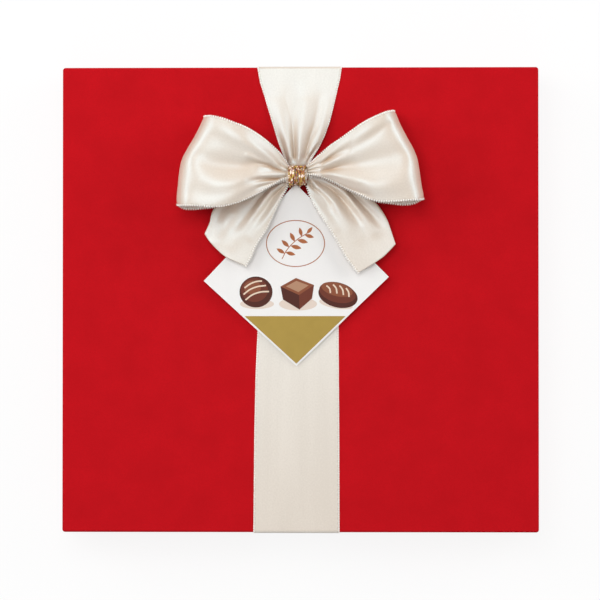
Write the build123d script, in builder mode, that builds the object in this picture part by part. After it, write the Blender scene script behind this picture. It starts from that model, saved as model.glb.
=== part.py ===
from build123d import *
import os
import math

os.makedirs("parts", exist_ok=True)

# A flat, square chocolate box with a lift-off lid, tied with a satin ribbon and a bow.
# Millimetres. The box lies on its base with its lid's face up (+Z). The origin is the
# centre of the underside, +X runs along the long side and +Y away from the bow's tails.

# Driving sizes of the closed box
box_length = 210.0
box_width = 205.0
closed_height = 28.0
board_thickness = 1.5
wrap_thickness = 0.2
stay_thickness = 0.1
liner_thickness = 0.15
case_corner_radius = 1.2
case_edge_radius = 1.0
lid_reveal = 5.0
lid_play = 0.8
turn_in_depth = 15.0
stay_width = 18.0
stay_margin = 0.5

# Driving sizes of the contents
cup_pitch_x = 38.8
cup_pitch_y = 37.8
cup_length = 34.5
cup_width = 33.5
cup_depth = 13.0
cup_corner_radius = 6.0
cup_taper_deg = 7.0
tray_wall = 0.5
tray_play = 0.4
tray_corner_radius = 3.0
praline_height = 15.0
pad_thickness = 2.5
pad_clearance = 0.3
pad_play = 1.5
pad_corner_radius = 4.0
pad_edge_radius = 1.1

# Driving sizes of the ribbon, the bow and the tag
ribbon_width = 38.0
ribbon_thickness = 0.35
ribbon_turn_in = 12.0
ribbon_bend_radius = 0.8
ribbon_rim_radius = 0.25
ribbon_offset_x = -1.7
ribbon_flat_from_y = 22.0
waist_x = -1.4
waist_y = 55.3
waist_length = 9.1
waist_height = 7.2
waist_half_width = 3.1
waist_half_depth = 2.7
cord_diameter = 0.9
cord_turns = 6
cord_gap = 0.45
cord_clearance = 0.3
bow_pad_width = 6.4
bow_pad_length = 8.8
bow_pad_corner_radius = 0.6
bow_pad_gap = 0.35
tag_left_reach = 41.4
tag_right_reach = 40.0
tag_shoulder_drop = 41.8
tag_tip_drop = 80.2
tag_tip_shift = -1.5
tag_thickness = 0.5
tag_turn_deg = 1.25
tag_corner_x = -1.9
tag_corner_y = 50.8
tag_corner_height = 4.6
tag_rest_height = 0.7
foil_thickness = 0.1
foil_top_drop = 58.2
foil_margin = 0.8
glue_dot_size = 5.0
glue_dot_thickness = 1.0
glue_dot_setback = 7.0

# One overrun serves every cut
overrun = 1.0


# The rigid case: greyboard, its corner stays, its red wrap and its pale liner
board_inset = wrap_thickness + stay_thickness
wall_stack = board_inset + board_thickness + wrap_thickness
panel_stack = wrap_thickness + board_thickness + liner_thickness
base_height = closed_height - panel_stack
base_length = box_length - 2 * (wall_stack + lid_play)
base_width = box_width - 2 * (wall_stack + lid_play)
stay_reach = board_thickness + stay_margin


def rounded_block(length, width, panel_z, rim_z, corner_radius, edge_radius):
    """A solid block from the panel to the rim, rounded at its corners and round the panel."""
    with BuildPart() as block:
        with BuildSketch(Plane.XY.offset(panel_z)):
            RectangleRounded(length, width, corner_radius)
        extrude(amount=rim_z - panel_z)
        outline = block.edges().group_by(Axis.Z)[0 if rim_z > panel_z else -1]
        fillet(outline, edge_radius)
    return block


def case_board(length, width, panel_z, rim_z):
    """A greyboard blank folded up into a panel with four walls that end at rim_z."""
    toward_rim = math.copysign(1, rim_z - panel_z)
    corner_radius = case_corner_radius - board_inset
    edge_radius = case_edge_radius - wrap_thickness
    block = rounded_block(length, width, panel_z, rim_z, corner_radius, edge_radius)
    with BuildPart() as board:
        add(block.part)
        with BuildSketch(Plane.XY.offset(panel_z + toward_rim * board_thickness)):
            Rectangle(length - 2 * board_thickness, width - 2 * board_thickness)
        extrude(amount=rim_z - panel_z, mode=Mode.SUBTRACT)
    return board


def case_wrap(length, width, panel_z, rim_z):
    """Paper over the panel and the walls, round the rim and back along the inside."""
    toward_rim = math.copysign(1, rim_z - panel_z)
    skin = wrap_thickness
    opening = wall_stack - skin
    block = rounded_block(length, width, panel_z, rim_z, case_corner_radius, case_edge_radius)
    hollow = rounded_block(
        length - 2 * skin,
        width - 2 * skin,
        panel_z + toward_rim * skin,
        rim_z - toward_rim * skin,
        case_corner_radius - skin,
        case_edge_radius - skin,
    )
    with BuildPart() as wrap:
        add(block.part)
        add(hollow.part, mode=Mode.SUBTRACT)
        with BuildSketch(Plane.XY.offset(rim_z)):
            Rectangle(length - 2 * opening, width - 2 * opening)
        extrude(amount=-toward_rim * turn_in_depth)
        with BuildSketch(Plane.XY.offset(rim_z)):
            Rectangle(length - 2 * wall_stack, width - 2 * wall_stack)
        extrude(amount=-toward_rim * turn_in_depth, mode=Mode.SUBTRACT)
    return wrap


def case_liner(length, width, low_z, high_z, panel_at_top):
    """Paper over the inside of the panel and down the walls as far as the turned-in wrap."""
    skin = liner_thickness
    with BuildPart() as liner:
        with BuildSketch(Plane.XY.offset(low_z)):
            Rectangle(length, width)
        extrude(amount=high_z - low_z)
        with BuildSketch(Plane.XY.offset(low_z if panel_at_top else low_z + skin)):
            Rectangle(length - 2 * skin, width - 2 * skin)
        extrude(amount=high_z - low_z - skin, mode=Mode.SUBTRACT)
    return liner


def case_stays(length, width, low_z, high_z):
    """Four paper tapes, one folded round each corner of the board."""
    tape = stay_thickness
    radius = case_corner_radius - wrap_thickness
    with BuildPart() as stays:
        with BuildSketch(Plane.XY.offset(low_z)):
            RectangleRounded(length, width, radius)
            RectangleRounded(length - 2 * tape, width - 2 * tape, radius - tape, mode=Mode.SUBTRACT)
            Rectangle(length - 2 * stay_width, width + overrun, mode=Mode.SUBTRACT)
            Rectangle(length + overrun, width - 2 * stay_width, mode=Mode.SUBTRACT)
        extrude(amount=high_z - low_z)
    return stays


base_board = case_board(
    base_length - 2 * board_inset,
    base_width - 2 * board_inset,
    wrap_thickness,
    base_height - wrap_thickness,
)
base_board.part.label = "base_board"
export_step(base_board.part, "parts/base_board.step")

base_wrap = case_wrap(base_length, base_width, 0, base_height)
base_wrap.part.label = "base_wrap"
export_step(base_wrap.part, "parts/base_wrap.step")

base_stays = case_stays(
    base_length - 2 * wrap_thickness,
    base_width - 2 * wrap_thickness,
    wrap_thickness + stay_reach,
    base_height - wrap_thickness - stay_margin,
)
base_stays.part.label = "base_corner_stays"
export_step(base_stays.part, "parts/base_corner_stays.step")

board_gap_length = 2 * (board_inset + board_thickness)
base_liner = case_liner(
    base_length - board_gap_length,
    base_width - board_gap_length,
    wrap_thickness + board_thickness,
    base_height - turn_in_depth,
    False,
)
base_liner.part.label = "base_liner"
export_step(base_liner.part, "parts/base_liner.step")

lid_board = case_board(
    box_length - 2 * board_inset,
    box_width - 2 * board_inset,
    closed_height - wrap_thickness,
    lid_reveal + wrap_thickness,
)
lid_board.part.label = "lid_board"
export_step(lid_board.part, "parts/lid_board.step")

lid_wrap = case_wrap(box_length, box_width, closed_height, lid_reveal)
lid_wrap.part.label = "lid_wrap"
export_step(lid_wrap.part, "parts/lid_wrap.step")

lid_stays = case_stays(
    box_length - 2 * wrap_thickness,
    box_width - 2 * wrap_thickness,
    lid_reveal + wrap_thickness + stay_margin,
    closed_height - wrap_thickness - stay_reach,
)
lid_stays.part.label = "lid_corner_stays"
export_step(lid_stays.part, "parts/lid_corner_stays.step")

lid_liner = case_liner(
    box_length - board_gap_length,
    box_width - board_gap_length,
    lid_reveal + turn_in_depth,
    closed_height - wrap_thickness - board_thickness,
    True,
)
lid_liner.part.label = "lid_liner"
export_step(lid_liner.part, "parts/lid_liner.step")

# The contents: a thermoformed tray, one layer of chocolates and the pad over them

floor_z = panel_stack
tray_top_z = floor_z + tray_wall + cup_depth
tray_length = base_length - 2 * (wall_stack + tray_play)
tray_width = base_width - 2 * (wall_stack + tray_play)
cup_columns = int(tray_length // cup_pitch_x)
cup_rows = int(tray_width // cup_pitch_y)

with BuildPart() as tray:
    with BuildSketch(Plane.XY.offset(tray_top_z)):
        RectangleRounded(tray_length, tray_width, tray_corner_radius)
    extrude(amount=-tray_wall)
    with BuildSketch(Plane.XY.offset(floor_z)):
        RectangleRounded(tray_length, tray_width, tray_corner_radius)
        offset(amount=-tray_wall, mode=Mode.SUBTRACT)
    extrude(amount=tray_top_z - floor_z)
    with BuildSketch(Plane.XY.offset(tray_top_z)):
        with GridLocations(cup_pitch_x, cup_pitch_y, cup_columns, cup_rows):
            RectangleRounded(cup_length + 2 * tray_wall, cup_width + 2 * tray_wall, cup_corner_radius)
    extrude(amount=floor_z - tray_top_z, taper=cup_taper_deg)
    with BuildSketch(Plane.XY.offset(tray_top_z)):
        with GridLocations(cup_pitch_x, cup_pitch_y, cup_columns, cup_rows):
            RectangleRounded(cup_length, cup_width, cup_corner_radius - tray_wall)
    extrude(amount=-cup_depth, taper=cup_taper_deg, mode=Mode.SUBTRACT)
tray.part.label = "tray"
export_step(tray.part, "parts/tray.step")

praline_floor_z = floor_z + tray_wall
cup_cells = [(column, row) for column in range(cup_columns) for row in range(cup_rows)]


def cups_of_kind(kind):
    """The cup centres that hold one of the three kinds, in diagonal rows."""
    places = []
    for column, row in cup_cells:
        if (column + row) % 3 == kind:
            x = (column - (cup_columns - 1) / 2) * cup_pitch_x
            y = (row - (cup_rows - 1) / 2) * cup_pitch_y
            places.append((x, y, praline_floor_z))
    return places


# An oval praline with slanting moulded grooves
oval_length = 27.0
oval_width = 20.0
oval_draft_deg = 5.0
oval_top_radius = 4.0
oval_groove_width = 1.1
oval_groove_depth = 0.8
oval_groove_pitch = 4.5
oval_groove_turn_deg = 55.0
oval_grooves = 5

with BuildPart() as oval_shape:
    with BuildSketch():
        Ellipse(oval_length / 2, oval_width / 2)
    extrude(amount=praline_height, taper=oval_draft_deg)
    fillet(oval_shape.edges().group_by(Axis.Z)[-1], oval_top_radius)
    with BuildSketch(Plane.XY.offset(praline_height - oval_groove_depth)):
        with Locations(Location((0, 0), oval_groove_turn_deg)):
            with GridLocations(0, oval_groove_pitch, 1, oval_grooves):
                Rectangle(oval_length, oval_groove_width)
    extrude(amount=oval_groove_depth + overrun, mode=Mode.SUBTRACT)

with BuildPart() as praline_oval:
    with Locations(*cups_of_kind(0)):
        add(oval_shape.part)
praline_oval.part.label = "praline_oval"
export_step(praline_oval.part, "parts/praline_oval.step")

# A round chocolate cup with a pale cream centre
round_foot_radius = 10.5
round_rim_radius = 12.5
round_wall = 2.0
round_cream_depth = 3.5
cream_crown_radius = 1.6
round_lip_radius = 0.8

with BuildPart() as cup_shape:
    with BuildSketch():
        Circle(round_foot_radius)
    with BuildSketch(Plane.XY.offset(praline_height - cream_crown_radius)):
        Circle(round_rim_radius)
    loft()
    fillet(cup_shape.edges().group_by(Axis.Z)[-1], round_lip_radius)
    with BuildSketch(Plane.XY.offset(praline_height - cream_crown_radius)):
        Circle(round_rim_radius - round_wall)
    extrude(amount=-round_cream_depth, mode=Mode.SUBTRACT)

with BuildPart() as cream_shape:
    with BuildSketch(Plane.XY.offset(praline_height - cream_crown_radius - round_cream_depth)):
        Circle(round_rim_radius - round_wall)
    extrude(amount=round_cream_depth + cream_crown_radius)
    fillet(cream_shape.edges().group_by(Axis.Z)[-1], cream_crown_radius)

with BuildPart() as praline_cup:
    with Locations(*cups_of_kind(1)):
        add(cup_shape.part)
praline_cup.part.label = "praline_cup"
export_step(praline_cup.part, "parts/praline_cup.step")

with BuildPart() as praline_cream:
    with Locations(*cups_of_kind(1)):
        add(cream_shape.part)
praline_cream.part.label = "praline_cream"
export_step(praline_cream.part, "parts/praline_cream.step")

# A square praline with a moulded frame line and a cross line
square_side = 23.0
square_corner_radius = 2.2
square_draft_deg = 4.0
square_chamfer = 0.9
square_line_width = 0.9
square_line_depth = 0.6
square_frame_side = 13.0

with BuildPart() as square_shape:
    with BuildSketch():
        RectangleRounded(square_side, square_side, square_corner_radius)
    extrude(amount=praline_height, taper=square_draft_deg)
    chamfer(square_shape.edges().group_by(Axis.Z)[-1], square_chamfer)
    with BuildSketch(Plane.XY.offset(praline_height)):
        Rectangle(square_frame_side, square_frame_side)
        offset(amount=-square_line_width, mode=Mode.SUBTRACT)
        with Locations(Location((0, 0), 45), Location((0, 0), -45)):
            Rectangle(square_frame_side, square_line_width)
    extrude(amount=-square_line_depth, mode=Mode.SUBTRACT)

with BuildPart() as praline_square:
    with Locations(*cups_of_kind(2)):
        add(square_shape.part)
praline_square.part.label = "praline_square"
export_step(praline_square.part, "parts/praline_square.step")

pad_z = praline_floor_z + praline_height + pad_clearance
pad_inset = wall_stack + pad_play

with BuildPart() as cushion_pad:
    with BuildSketch(Plane.XY.offset(pad_z)):
        RectangleRounded(base_length - 2 * pad_inset, base_width - 2 * pad_inset, pad_corner_radius)
    extrude(amount=pad_thickness)
    fillet(cushion_pad.edges().group_by(Axis.Z)[0], pad_edge_radius)
    fillet(cushion_pad.edges().group_by(Axis.Z)[-1], pad_edge_radius)
cushion_pad.part.label = "cushion_pad"
export_step(cushion_pad.part, "parts/cushion_pad.step")

# The ribbon: a flat band over the lid, drawn in at the bow, and the bow's loops and tails

lid_top_z = closed_height
half_ribbon = ribbon_width / 2
half_thickness = ribbon_thickness / 2
front_wall_y = box_width / 2


def sheet_outline(points):
    """A thin strip seen end on: its crest points, then the same points one thickness lower."""
    upper = [(across, up + half_thickness) for across, up in points]
    lower = [(across, up - half_thickness) for across, up in reversed(points)]
    return upper + lower


def folded_sheet(stations):
    """A ribbon stretch through thin sections, each a plane and its crest points."""
    with BuildPart() as sheet:
        for plane, points in stations:
            with BuildSketch(plane):
                with BuildLine():
                    Polyline(*sheet_outline(points), close=True)
                make_face()
        loft(ruled=True)
    return sheet


# Where the band's two ridges and its troughs lie across it, and how high they stand
band_fold_shares = (-1.0, -0.8, -0.42, 0.05, 0.55, 0.8, 1.0)
band_crest_shares = (0.0, 1.0, 0.05, 1.0, 0.1, 0.75, 0.0)
band_crest_height = 3.2
band_waist_crest_height = 1.2
band_least_crest_height = 0.02

# How the band narrows from the back edge to the waist: way along, width, crest height
back_gather_shares = (
    (0.10, 0.95, 0.0),
    (0.29, 0.83, 0.10),
    (0.46, 0.72, 0.30),
    (0.62, 0.62, 0.60),
    (0.76, 0.51, 0.85),
    (0.87, 0.39, 1.00),
    (0.95, 0.29, 0.80),
)
front_gather_shares = (
    (0.10, 0.28, 0.45),
    (0.30, 0.50, 0.40),
    (0.60, 0.82, 0.15),
)


def band_station(y, width_share, crest_height):
    """The band's section at y; the fold lines stay as faint edges where it lies flat."""
    crest_height = max(crest_height, band_least_crest_height)
    plane = Plane((ribbon_offset_x, y, lid_top_z + half_thickness), x_dir=(1, 0, 0), z_dir=(0, -1, 0))
    points = [
        (half_ribbon * width_share * across, crest_height * crest)
        for across, crest in zip(band_fold_shares, band_crest_shares)
    ]
    return plane, points


waist_back_y = waist_y + waist_half_width + cord_diameter
waist_front_y = waist_y - waist_half_width - cord_diameter
waist_width_share = 0.22
back_flat_share = 0.97
back_flat_length = 3.8
back_flat_y = front_wall_y - case_edge_radius - back_flat_length
back_run = back_flat_y - waist_back_y
front_run = waist_front_y - ribbon_flat_from_y

band_stations = [band_station(back_flat_y, back_flat_share, 0)]
for way, width_share, crest_share in back_gather_shares:
    band_stations.append(band_station(back_flat_y - back_run * way, width_share, band_crest_height * crest_share))
band_stations.append(band_station(waist_back_y, waist_width_share, band_waist_crest_height))
band_stations.append(band_station(waist_front_y, waist_width_share, band_waist_crest_height))
for way, width_share, crest_share in front_gather_shares:
    y = waist_front_y - front_run * way
    band_stations.append(band_station(y, width_share, band_crest_height * crest_share))
band_stations.append(band_station(ribbon_flat_from_y, 1, 0))
gathered_band = folded_sheet(band_stations)


def band_end(start_y, side, width):
    """The flat end of the band: over the lid's edge, down the wall, round the rim and inside."""
    wall_y = side * front_wall_y
    inside_y = side * (front_wall_y - wall_stack)
    rim_z = lid_reveal - ribbon_rim_radius
    inner_path = (
        (start_y, lid_top_z),
        (wall_y, lid_top_z),
        (wall_y, rim_z),
        (inside_y, rim_z),
        (inside_y, rim_z + ribbon_turn_in),
    )
    bends = (ribbon_bend_radius, ribbon_rim_radius, ribbon_rim_radius)
    with BuildPart() as end:
        with BuildSketch(Plane.YZ.offset(ribbon_offset_x)):
            with BuildLine():
                FilletPolyline(*inner_path, radius=bends)
                offset(amount=ribbon_thickness, side=Side.LEFT if side > 0 else Side.RIGHT)
            make_face()
        extrude(amount=width / 2, both=True)
    return end


front_end = band_end(ribbon_flat_from_y, -1, ribbon_width)
back_end = band_end(back_flat_y, 1, ribbon_width * back_flat_share)

with BuildPart() as ribbon_band:
    add(gathered_band.part)
    add(front_end.part)
    add(back_end.part)
ribbon_band.part.label = "ribbon_band"
export_step(ribbon_band.part, "parts/ribbon_band.step")

# The waist: the drawn-in heart of the bow, on a sticky pad that holds it to the band

waist_z = lid_top_z + waist_height
cord_ring_width = waist_half_width + cord_clearance + cord_diameter / 2
cord_ring_depth = waist_half_depth + cord_clearance + cord_diameter / 2
bow_pad_top_z = waist_z - cord_ring_depth - cord_diameter / 2 - cord_clearance
bow_pad_z = lid_top_z + band_waist_crest_height + ribbon_thickness + bow_pad_gap

with BuildPart() as bow_waist:
    with BuildSketch(Plane((waist_x - waist_length / 2, waist_y, waist_z), x_dir=(0, 1, 0), z_dir=(1, 0, 0))):
        Ellipse(waist_half_width, waist_half_depth)
    extrude(amount=waist_length)
bow_waist.part.label = "bow_waist"
export_step(bow_waist.part, "parts/bow_waist.step")

with BuildPart() as bow_pad:
    with BuildSketch(Plane((waist_x, waist_y, bow_pad_z))):
        RectangleRounded(bow_pad_width, bow_pad_length, bow_pad_corner_radius)
    extrude(amount=bow_pad_top_z - bow_pad_z)
bow_pad.part.label = "bow_pad"
export_step(bow_pad.part, "parts/bow_pad.step")

# The gold cord tie: one cord wound round the waist, its two ends run down to the pad
cord_pitch = cord_diameter + cord_gap
cord_total_turns = cord_turns - 0.5
cord_start_x = waist_x - cord_pitch * cord_total_turns / 2


def cord_point(turn):
    """A point of the winding and its direction, turn counted from the first side point."""
    angle = 2 * math.pi * turn
    point = Vector(
        cord_start_x + cord_pitch * turn,
        waist_y + cord_ring_width * math.cos(angle),
        waist_z + cord_ring_depth * math.sin(angle),
    )
    heading = Vector(
        cord_pitch / (2 * math.pi),
        -cord_ring_width * math.sin(angle),
        cord_ring_depth * math.cos(angle),
    )
    return point, heading.normalized()


def biarc(start, start_heading, end, end_heading):
    """Two arcs that join two points with their headings: the middle point and its heading."""
    chord = end - start
    both = start_heading + end_heading
    spread = 2 * (1 - start_heading.dot(end_heading))
    along = chord.dot(both)
    reach = (math.sqrt(along**2 + spread * chord.dot(chord)) - along) / spread
    first = start + start_heading * reach
    last = end - end_heading * reach
    return (first + last) * 0.5, (last - first).normalized()


quarter_turns = 4
cord_steps = round(cord_total_turns * quarter_turns)
cord_stations = [cord_point(step / quarter_turns) for step in range(cord_steps + 1)]
first_point, first_heading = cord_stations[0]
last_point, last_heading = cord_stations[-1]
down_first = first_point - Vector(0, 0, 1) * (first_point.Z - bow_pad_top_z)
down_last = last_point - Vector(0, 0, 1) * (last_point.Z - bow_pad_top_z)

with BuildPart() as bow_tie:
    with BuildLine() as cord_line:
        Line(down_first, first_point)
        for (here, heading), (there, next_heading) in zip(cord_stations, cord_stations[1:]):
            middle, middle_heading = biarc(here, heading, there, next_heading)
            TangentArc(here, middle, tangent=heading)
            TangentArc(middle, there, tangent=middle_heading)
        Line(last_point, down_last)
    with BuildSketch(Plane(down_first, z_dir=(0, 0, 1))):
        Circle(cord_diameter / 2)
    sweep()
bow_tie.part.label = "bow_tie"
export_step(bow_tie.part, "parts/bow_tie.step")

# The bow's two loops: from the waist out along the top, over the fold and back underneath

loop_turn_left_deg = 16.7
loop_turn_right_deg = 18.2
loop_fold_left = (-48.6, 60.8)
loop_fold_right = (47.7, 63.5)
loop_rise = 20.0
loop_root_y = 56.2
loop_pleat_height = 1.2
loop_arch_height = 4.0
loop_fold_shares = (-1.0, -0.66, -0.33, 0.0, 0.33, 0.66, 1.0)
loop_pleat_shares = (-0.5, 0.5, -0.4, 0.5, -0.4, 0.5, -0.5)

# Each row: way out, height, heading above level in degrees, width, pleat height, arch height
loop_shares = (
    (0.00, 0.445, 0, 0.15, 1.0, 0.0),
    (0.10, 0.53, 24, 0.30, 0.9, 0.0),
    (0.25, 0.70, 20, 0.56, 0.8, 0.2),
    (0.45, 0.89, 13, 0.85, 0.5, 0.4),
    (0.65, 0.99, 4, 0.98, 0.2, 0.6),
    (0.84, 0.97, -14, 1.00, 0.0, 0.8),
    (0.91, 0.905, -32, 1.00, 0.0, 0.9),
    (0.96, 0.81, -52, 1.00, 0.0, 1.0),
    (0.99, 0.69, -72, 1.00, 0.0, 1.0),
    (1.00, 0.57, -90, 1.00, 0.0, 1.0),
    (0.99, 0.44, -108, 1.00, 0.0, 1.0),
    (0.96, 0.32, -128, 1.00, 0.0, 0.9),
    (0.91, 0.22, -149, 1.00, 0.0, 0.7),
    (0.84, 0.17, -170, 1.00, 0.0, 0.4),
    (0.75, 0.18, -184, 0.97, 0.1, 0.2),
    (0.50, 0.27, -190, 0.80, 0.4, 0.0),
    (0.25, 0.34, -184, 0.52, 0.7, 0.0),
    (0.08, 0.355, -181, 0.27, 0.9, 0.0),
    (0.00, 0.355, -180, 0.15, 1.0, 0.0),
)


def bow_loop(side, turn_deg, fold_place):
    """One loop of the bow as one folded sheet; side is -1 on the left and 1 on the right."""
    root_x = waist_x + side * waist_length / 2
    stations = []
    for out, rise, heading_deg, width_share, pleat_share, arch_share in loop_shares:
        turn = math.radians(side * turn_deg * out)
        outward = Vector(side * math.cos(turn), side * math.sin(turn), 0)
        across = Vector(-math.sin(turn), math.cos(turn), 0)
        heading = math.radians(heading_deg)
        centre = (
            root_x + (fold_place[0] - root_x) * out,
            loop_root_y + (fold_place[1] - loop_root_y) * out,
            lid_top_z + loop_rise * rise,
        )
        ahead = outward * math.cos(heading) + Vector(0, 0, 1) * math.sin(heading)
        points = [
            (
                half_ribbon * width_share * share,
                loop_pleat_height * pleat_share * pleat + loop_arch_height * arch_share * (1 - share**2),
            )
            for share, pleat in zip(loop_fold_shares, loop_pleat_shares)
        ]
        stations.append((Plane(centre, x_dir=across * side, z_dir=ahead), points))
    return folded_sheet(stations)


bow_loop_left = bow_loop(-1, loop_turn_left_deg, loop_fold_left)
bow_loop_left.part.label = "bow_loop_left"
export_step(bow_loop_left.part, "parts/bow_loop_left.step")

bow_loop_right = bow_loop(1, loop_turn_right_deg, loop_fold_right)
bow_loop_right.part.label = "bow_loop_right"
export_step(bow_loop_right.part, "parts/bow_loop_right.step")

# The bow's two tails, each drawn by its inner and outer edge from the waist to the slanted cut

tail_pleat_height = 0.8
tail_fold_shares = (-1.0, -0.55, -0.15, 0.3, 0.7, 1.0)
tail_pleat_shares = (0.0, 1.0, 0.0, 1.0, 0.3, -0.6)
left_root_x = waist_x - waist_length / 2
right_root_x = waist_x + waist_length / 2

# Each row: inner edge x, y and height over the lid, then the outer edge's
tail_left_places = (
    (left_root_x, 51.0, 5.2, left_root_x, 53.8, 5.2),
    (-10.3, 42.0, 6.6, -17.2, 48.4, 4.6),
    (-15.4, 30.9, 7.2, -32.2, 42.7, 3.0),
    (-19.5, 24.8, 6.9, -39.5, 36.9, 3.0),
    (-24.3, 14.8, 6.0, -42.5, 29.1, 3.6),
)
tail_right_places = (
    (right_root_x, 49.0, 5.2, right_root_x, 52.2, 5.2),
    (7.4, 39.5, 6.6, 15.1, 47.5, 4.6),
    (13.5, 30.3, 7.2, 33.0, 42.9, 3.0),
    (19.6, 19.7, 6.7, 38.5, 34.7, 3.2),
    (25.4, 11.8, 6.0, 41.9, 24.5, 3.6),
)


def bow_tail(side, places):
    """One tail of the bow; its pleats run along it and its outer edge turns down."""
    stations = []
    for inner_x, inner_y, inner_rise, outer_x, outer_y, outer_rise in places:
        inner = Vector(inner_x, inner_y, lid_top_z + inner_rise)
        outer = Vector(outer_x, outer_y, lid_top_z + outer_rise)
        across = (outer - inner) * side
        half_width = across.length / 2
        ahead = across.cross(Vector(0, 0, 1))
        points = [
            (side * half_width * share, tail_pleat_height * pleat)
            for share, pleat in zip(tail_fold_shares, tail_pleat_shares)
        ]
        points.sort()
        stations.append((Plane((inner + outer) * 0.5, x_dir=across, z_dir=ahead), points))
    return folded_sheet(stations)


bow_tail_left = bow_tail(-1, tail_left_places)
bow_tail_left.part.label = "bow_tail_left"
export_step(bow_tail_left.part, "parts/bow_tail_left.step")

bow_tail_right = bow_tail(1, tail_right_places)
bow_tail_right.part.label = "bow_tail_right"
export_step(bow_tail_right.part, "parts/bow_tail_right.step")

# The tag: a kite-shaped card hung by one corner, its foil, and the cord's end stuck to its back

tag_slope = math.asin((tag_corner_height - tag_rest_height) / tag_tip_drop)
tag_plane = Plane(
    (tag_corner_x, tag_corner_y, lid_top_z + tag_corner_height),
    x_dir=(1, 0, 0),
    z_dir=(0, -math.sin(tag_slope), math.cos(tag_slope)),
).rotated((0, 0, tag_turn_deg))
tag_corners = (
    (0, 0),
    (-tag_left_reach, -tag_shoulder_drop),
    (tag_tip_shift, -tag_tip_drop),
    (tag_right_reach, -tag_shoulder_drop),
)

with BuildPart() as tag_card:
    with BuildSketch(tag_plane):
        with BuildLine():
            Polyline(*tag_corners, close=True)
        make_face()
    extrude(amount=tag_thickness)
tag_card.part.label = "tag_card"
export_step(tag_card.part, "parts/tag_card.step")

with BuildPart() as tag_foil:
    with BuildSketch(tag_plane.offset(tag_thickness)):
        with BuildLine():
            Polyline(*tag_corners, close=True)
        make_face()
        offset(amount=-foil_margin, kind=Kind.INTERSECTION)
        with Locations(Location((0, -foil_top_drop), -tag_turn_deg)):
            Rectangle(tag_tip_drop * 2, tag_tip_drop, align=(Align.CENTER, Align.MIN), mode=Mode.SUBTRACT)
    extrude(amount=foil_thickness)
tag_foil.part.label = "tag_foil"
export_step(tag_foil.part, "parts/tag_foil.step")

with BuildPart() as glue_dot:
    with BuildSketch(tag_plane):
        with Locations((0, -glue_dot_setback - glue_dot_size / 2)):
            Rectangle(glue_dot_size, glue_dot_size)
    extrude(amount=-glue_dot_thickness)
glue_dot.part.label = "tag_glue_dot"
export_step(glue_dot.part, "parts/tag_glue_dot.step")

tag_cord_reach = 1.0
tag_cord_depth = glue_dot_thickness / 2
tag_cord_end = tag_plane.from_local_coords(Vector(0, -glue_dot_setback, -tag_cord_depth))

with BuildPart() as tag_cord:
    with BuildSketch(Plane(tag_cord_end, x_dir=tag_plane.x_dir, z_dir=tag_plane.y_dir)):
        Circle(cord_diameter / 2)
    extrude(amount=glue_dot_setback + tag_cord_reach)
tag_cord.part.label = "tag_cord"
export_step(tag_cord.part, "parts/tag_cord.step")

# What the joint record needs: where the tag hangs and the direction it turns about
tag_pivot = tag_plane.from_local_coords(Vector(0, tag_cord_reach, 0))
print("tag pivot", tuple(round(value, 3) for value in tag_pivot))
print("tag hinge axis", tuple(round(value, 5) for value in tag_plane.z_dir))

# The winding's least gap to itself, measured on points along its turns
samples_each_turn = 48
trace_points = [
    cord_point(step / samples_each_turn)[0] for step in range(round(cord_total_turns * samples_each_turn) + 1)
]
own_gap = min(
    (here - there).length - cord_diameter
    for index, here in enumerate(trace_points)
    for there in trace_points[index + samples_each_turn // 2 :]
)
print("bow tie: least gap to itself", round(own_gap, 3), "mm")
cord_length = sum(edge.length for edge in cord_line.edges())
cord_section = math.pi * cord_diameter**2 / 4
print("bow tie: cord length", round(cord_length, 1), "mm")
print("bow tie: volume over section times length", round(bow_tie.part.volume / (cord_section * cord_length), 4))
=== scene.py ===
# %% [markdown]
# A flat gift box of chocolates, seen straight down: a red paper-covered lid, a satin
# ribbon with a bow, a gold cord tie and a card tag. The box's boards and papers come
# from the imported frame; the ribbon, cord, pad and print are made here, cell by cell.

# %% Load the frame and keep its box
import math

import bmesh
import bpy
import numpy as np
from mathutils import Matrix, Vector


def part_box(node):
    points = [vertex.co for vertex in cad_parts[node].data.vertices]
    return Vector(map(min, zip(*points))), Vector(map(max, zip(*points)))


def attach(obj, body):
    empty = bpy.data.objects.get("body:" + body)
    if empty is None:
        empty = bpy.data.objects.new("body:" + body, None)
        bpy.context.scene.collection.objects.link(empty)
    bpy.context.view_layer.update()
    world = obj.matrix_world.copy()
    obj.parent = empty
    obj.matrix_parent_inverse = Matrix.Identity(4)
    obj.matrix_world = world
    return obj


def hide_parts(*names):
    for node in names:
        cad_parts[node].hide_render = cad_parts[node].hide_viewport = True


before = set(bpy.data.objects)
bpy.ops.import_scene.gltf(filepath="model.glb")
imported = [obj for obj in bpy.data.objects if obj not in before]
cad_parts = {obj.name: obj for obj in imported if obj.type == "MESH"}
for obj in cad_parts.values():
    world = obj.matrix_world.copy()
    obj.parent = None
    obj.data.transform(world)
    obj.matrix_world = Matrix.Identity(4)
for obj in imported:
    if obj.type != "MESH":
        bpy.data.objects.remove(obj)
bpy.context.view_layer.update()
MM = 0.001
scene = bpy.context.scene
scene.view_settings.view_transform = "Standard"


def box_corners(node):
    """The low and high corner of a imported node's box."""
    return tuple(Vector(corner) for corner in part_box(node))


def placed(name, data):
    """An object in the scene, from its mesh, lamp or camera."""
    obj = bpy.data.objects.new(name, data)
    scene.collection.objects.link(obj)
    return obj


lid_low, lid_high = box_corners("lid_wrap")
band_low, band_high = box_corners("ribbon_band")
lid_top = lid_high.z
lid_size = [round(value / MM, 1) for value in lid_high - lid_low]
print("lid", lid_size, "mm, its face at", round(lid_top / MM, 1))

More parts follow.
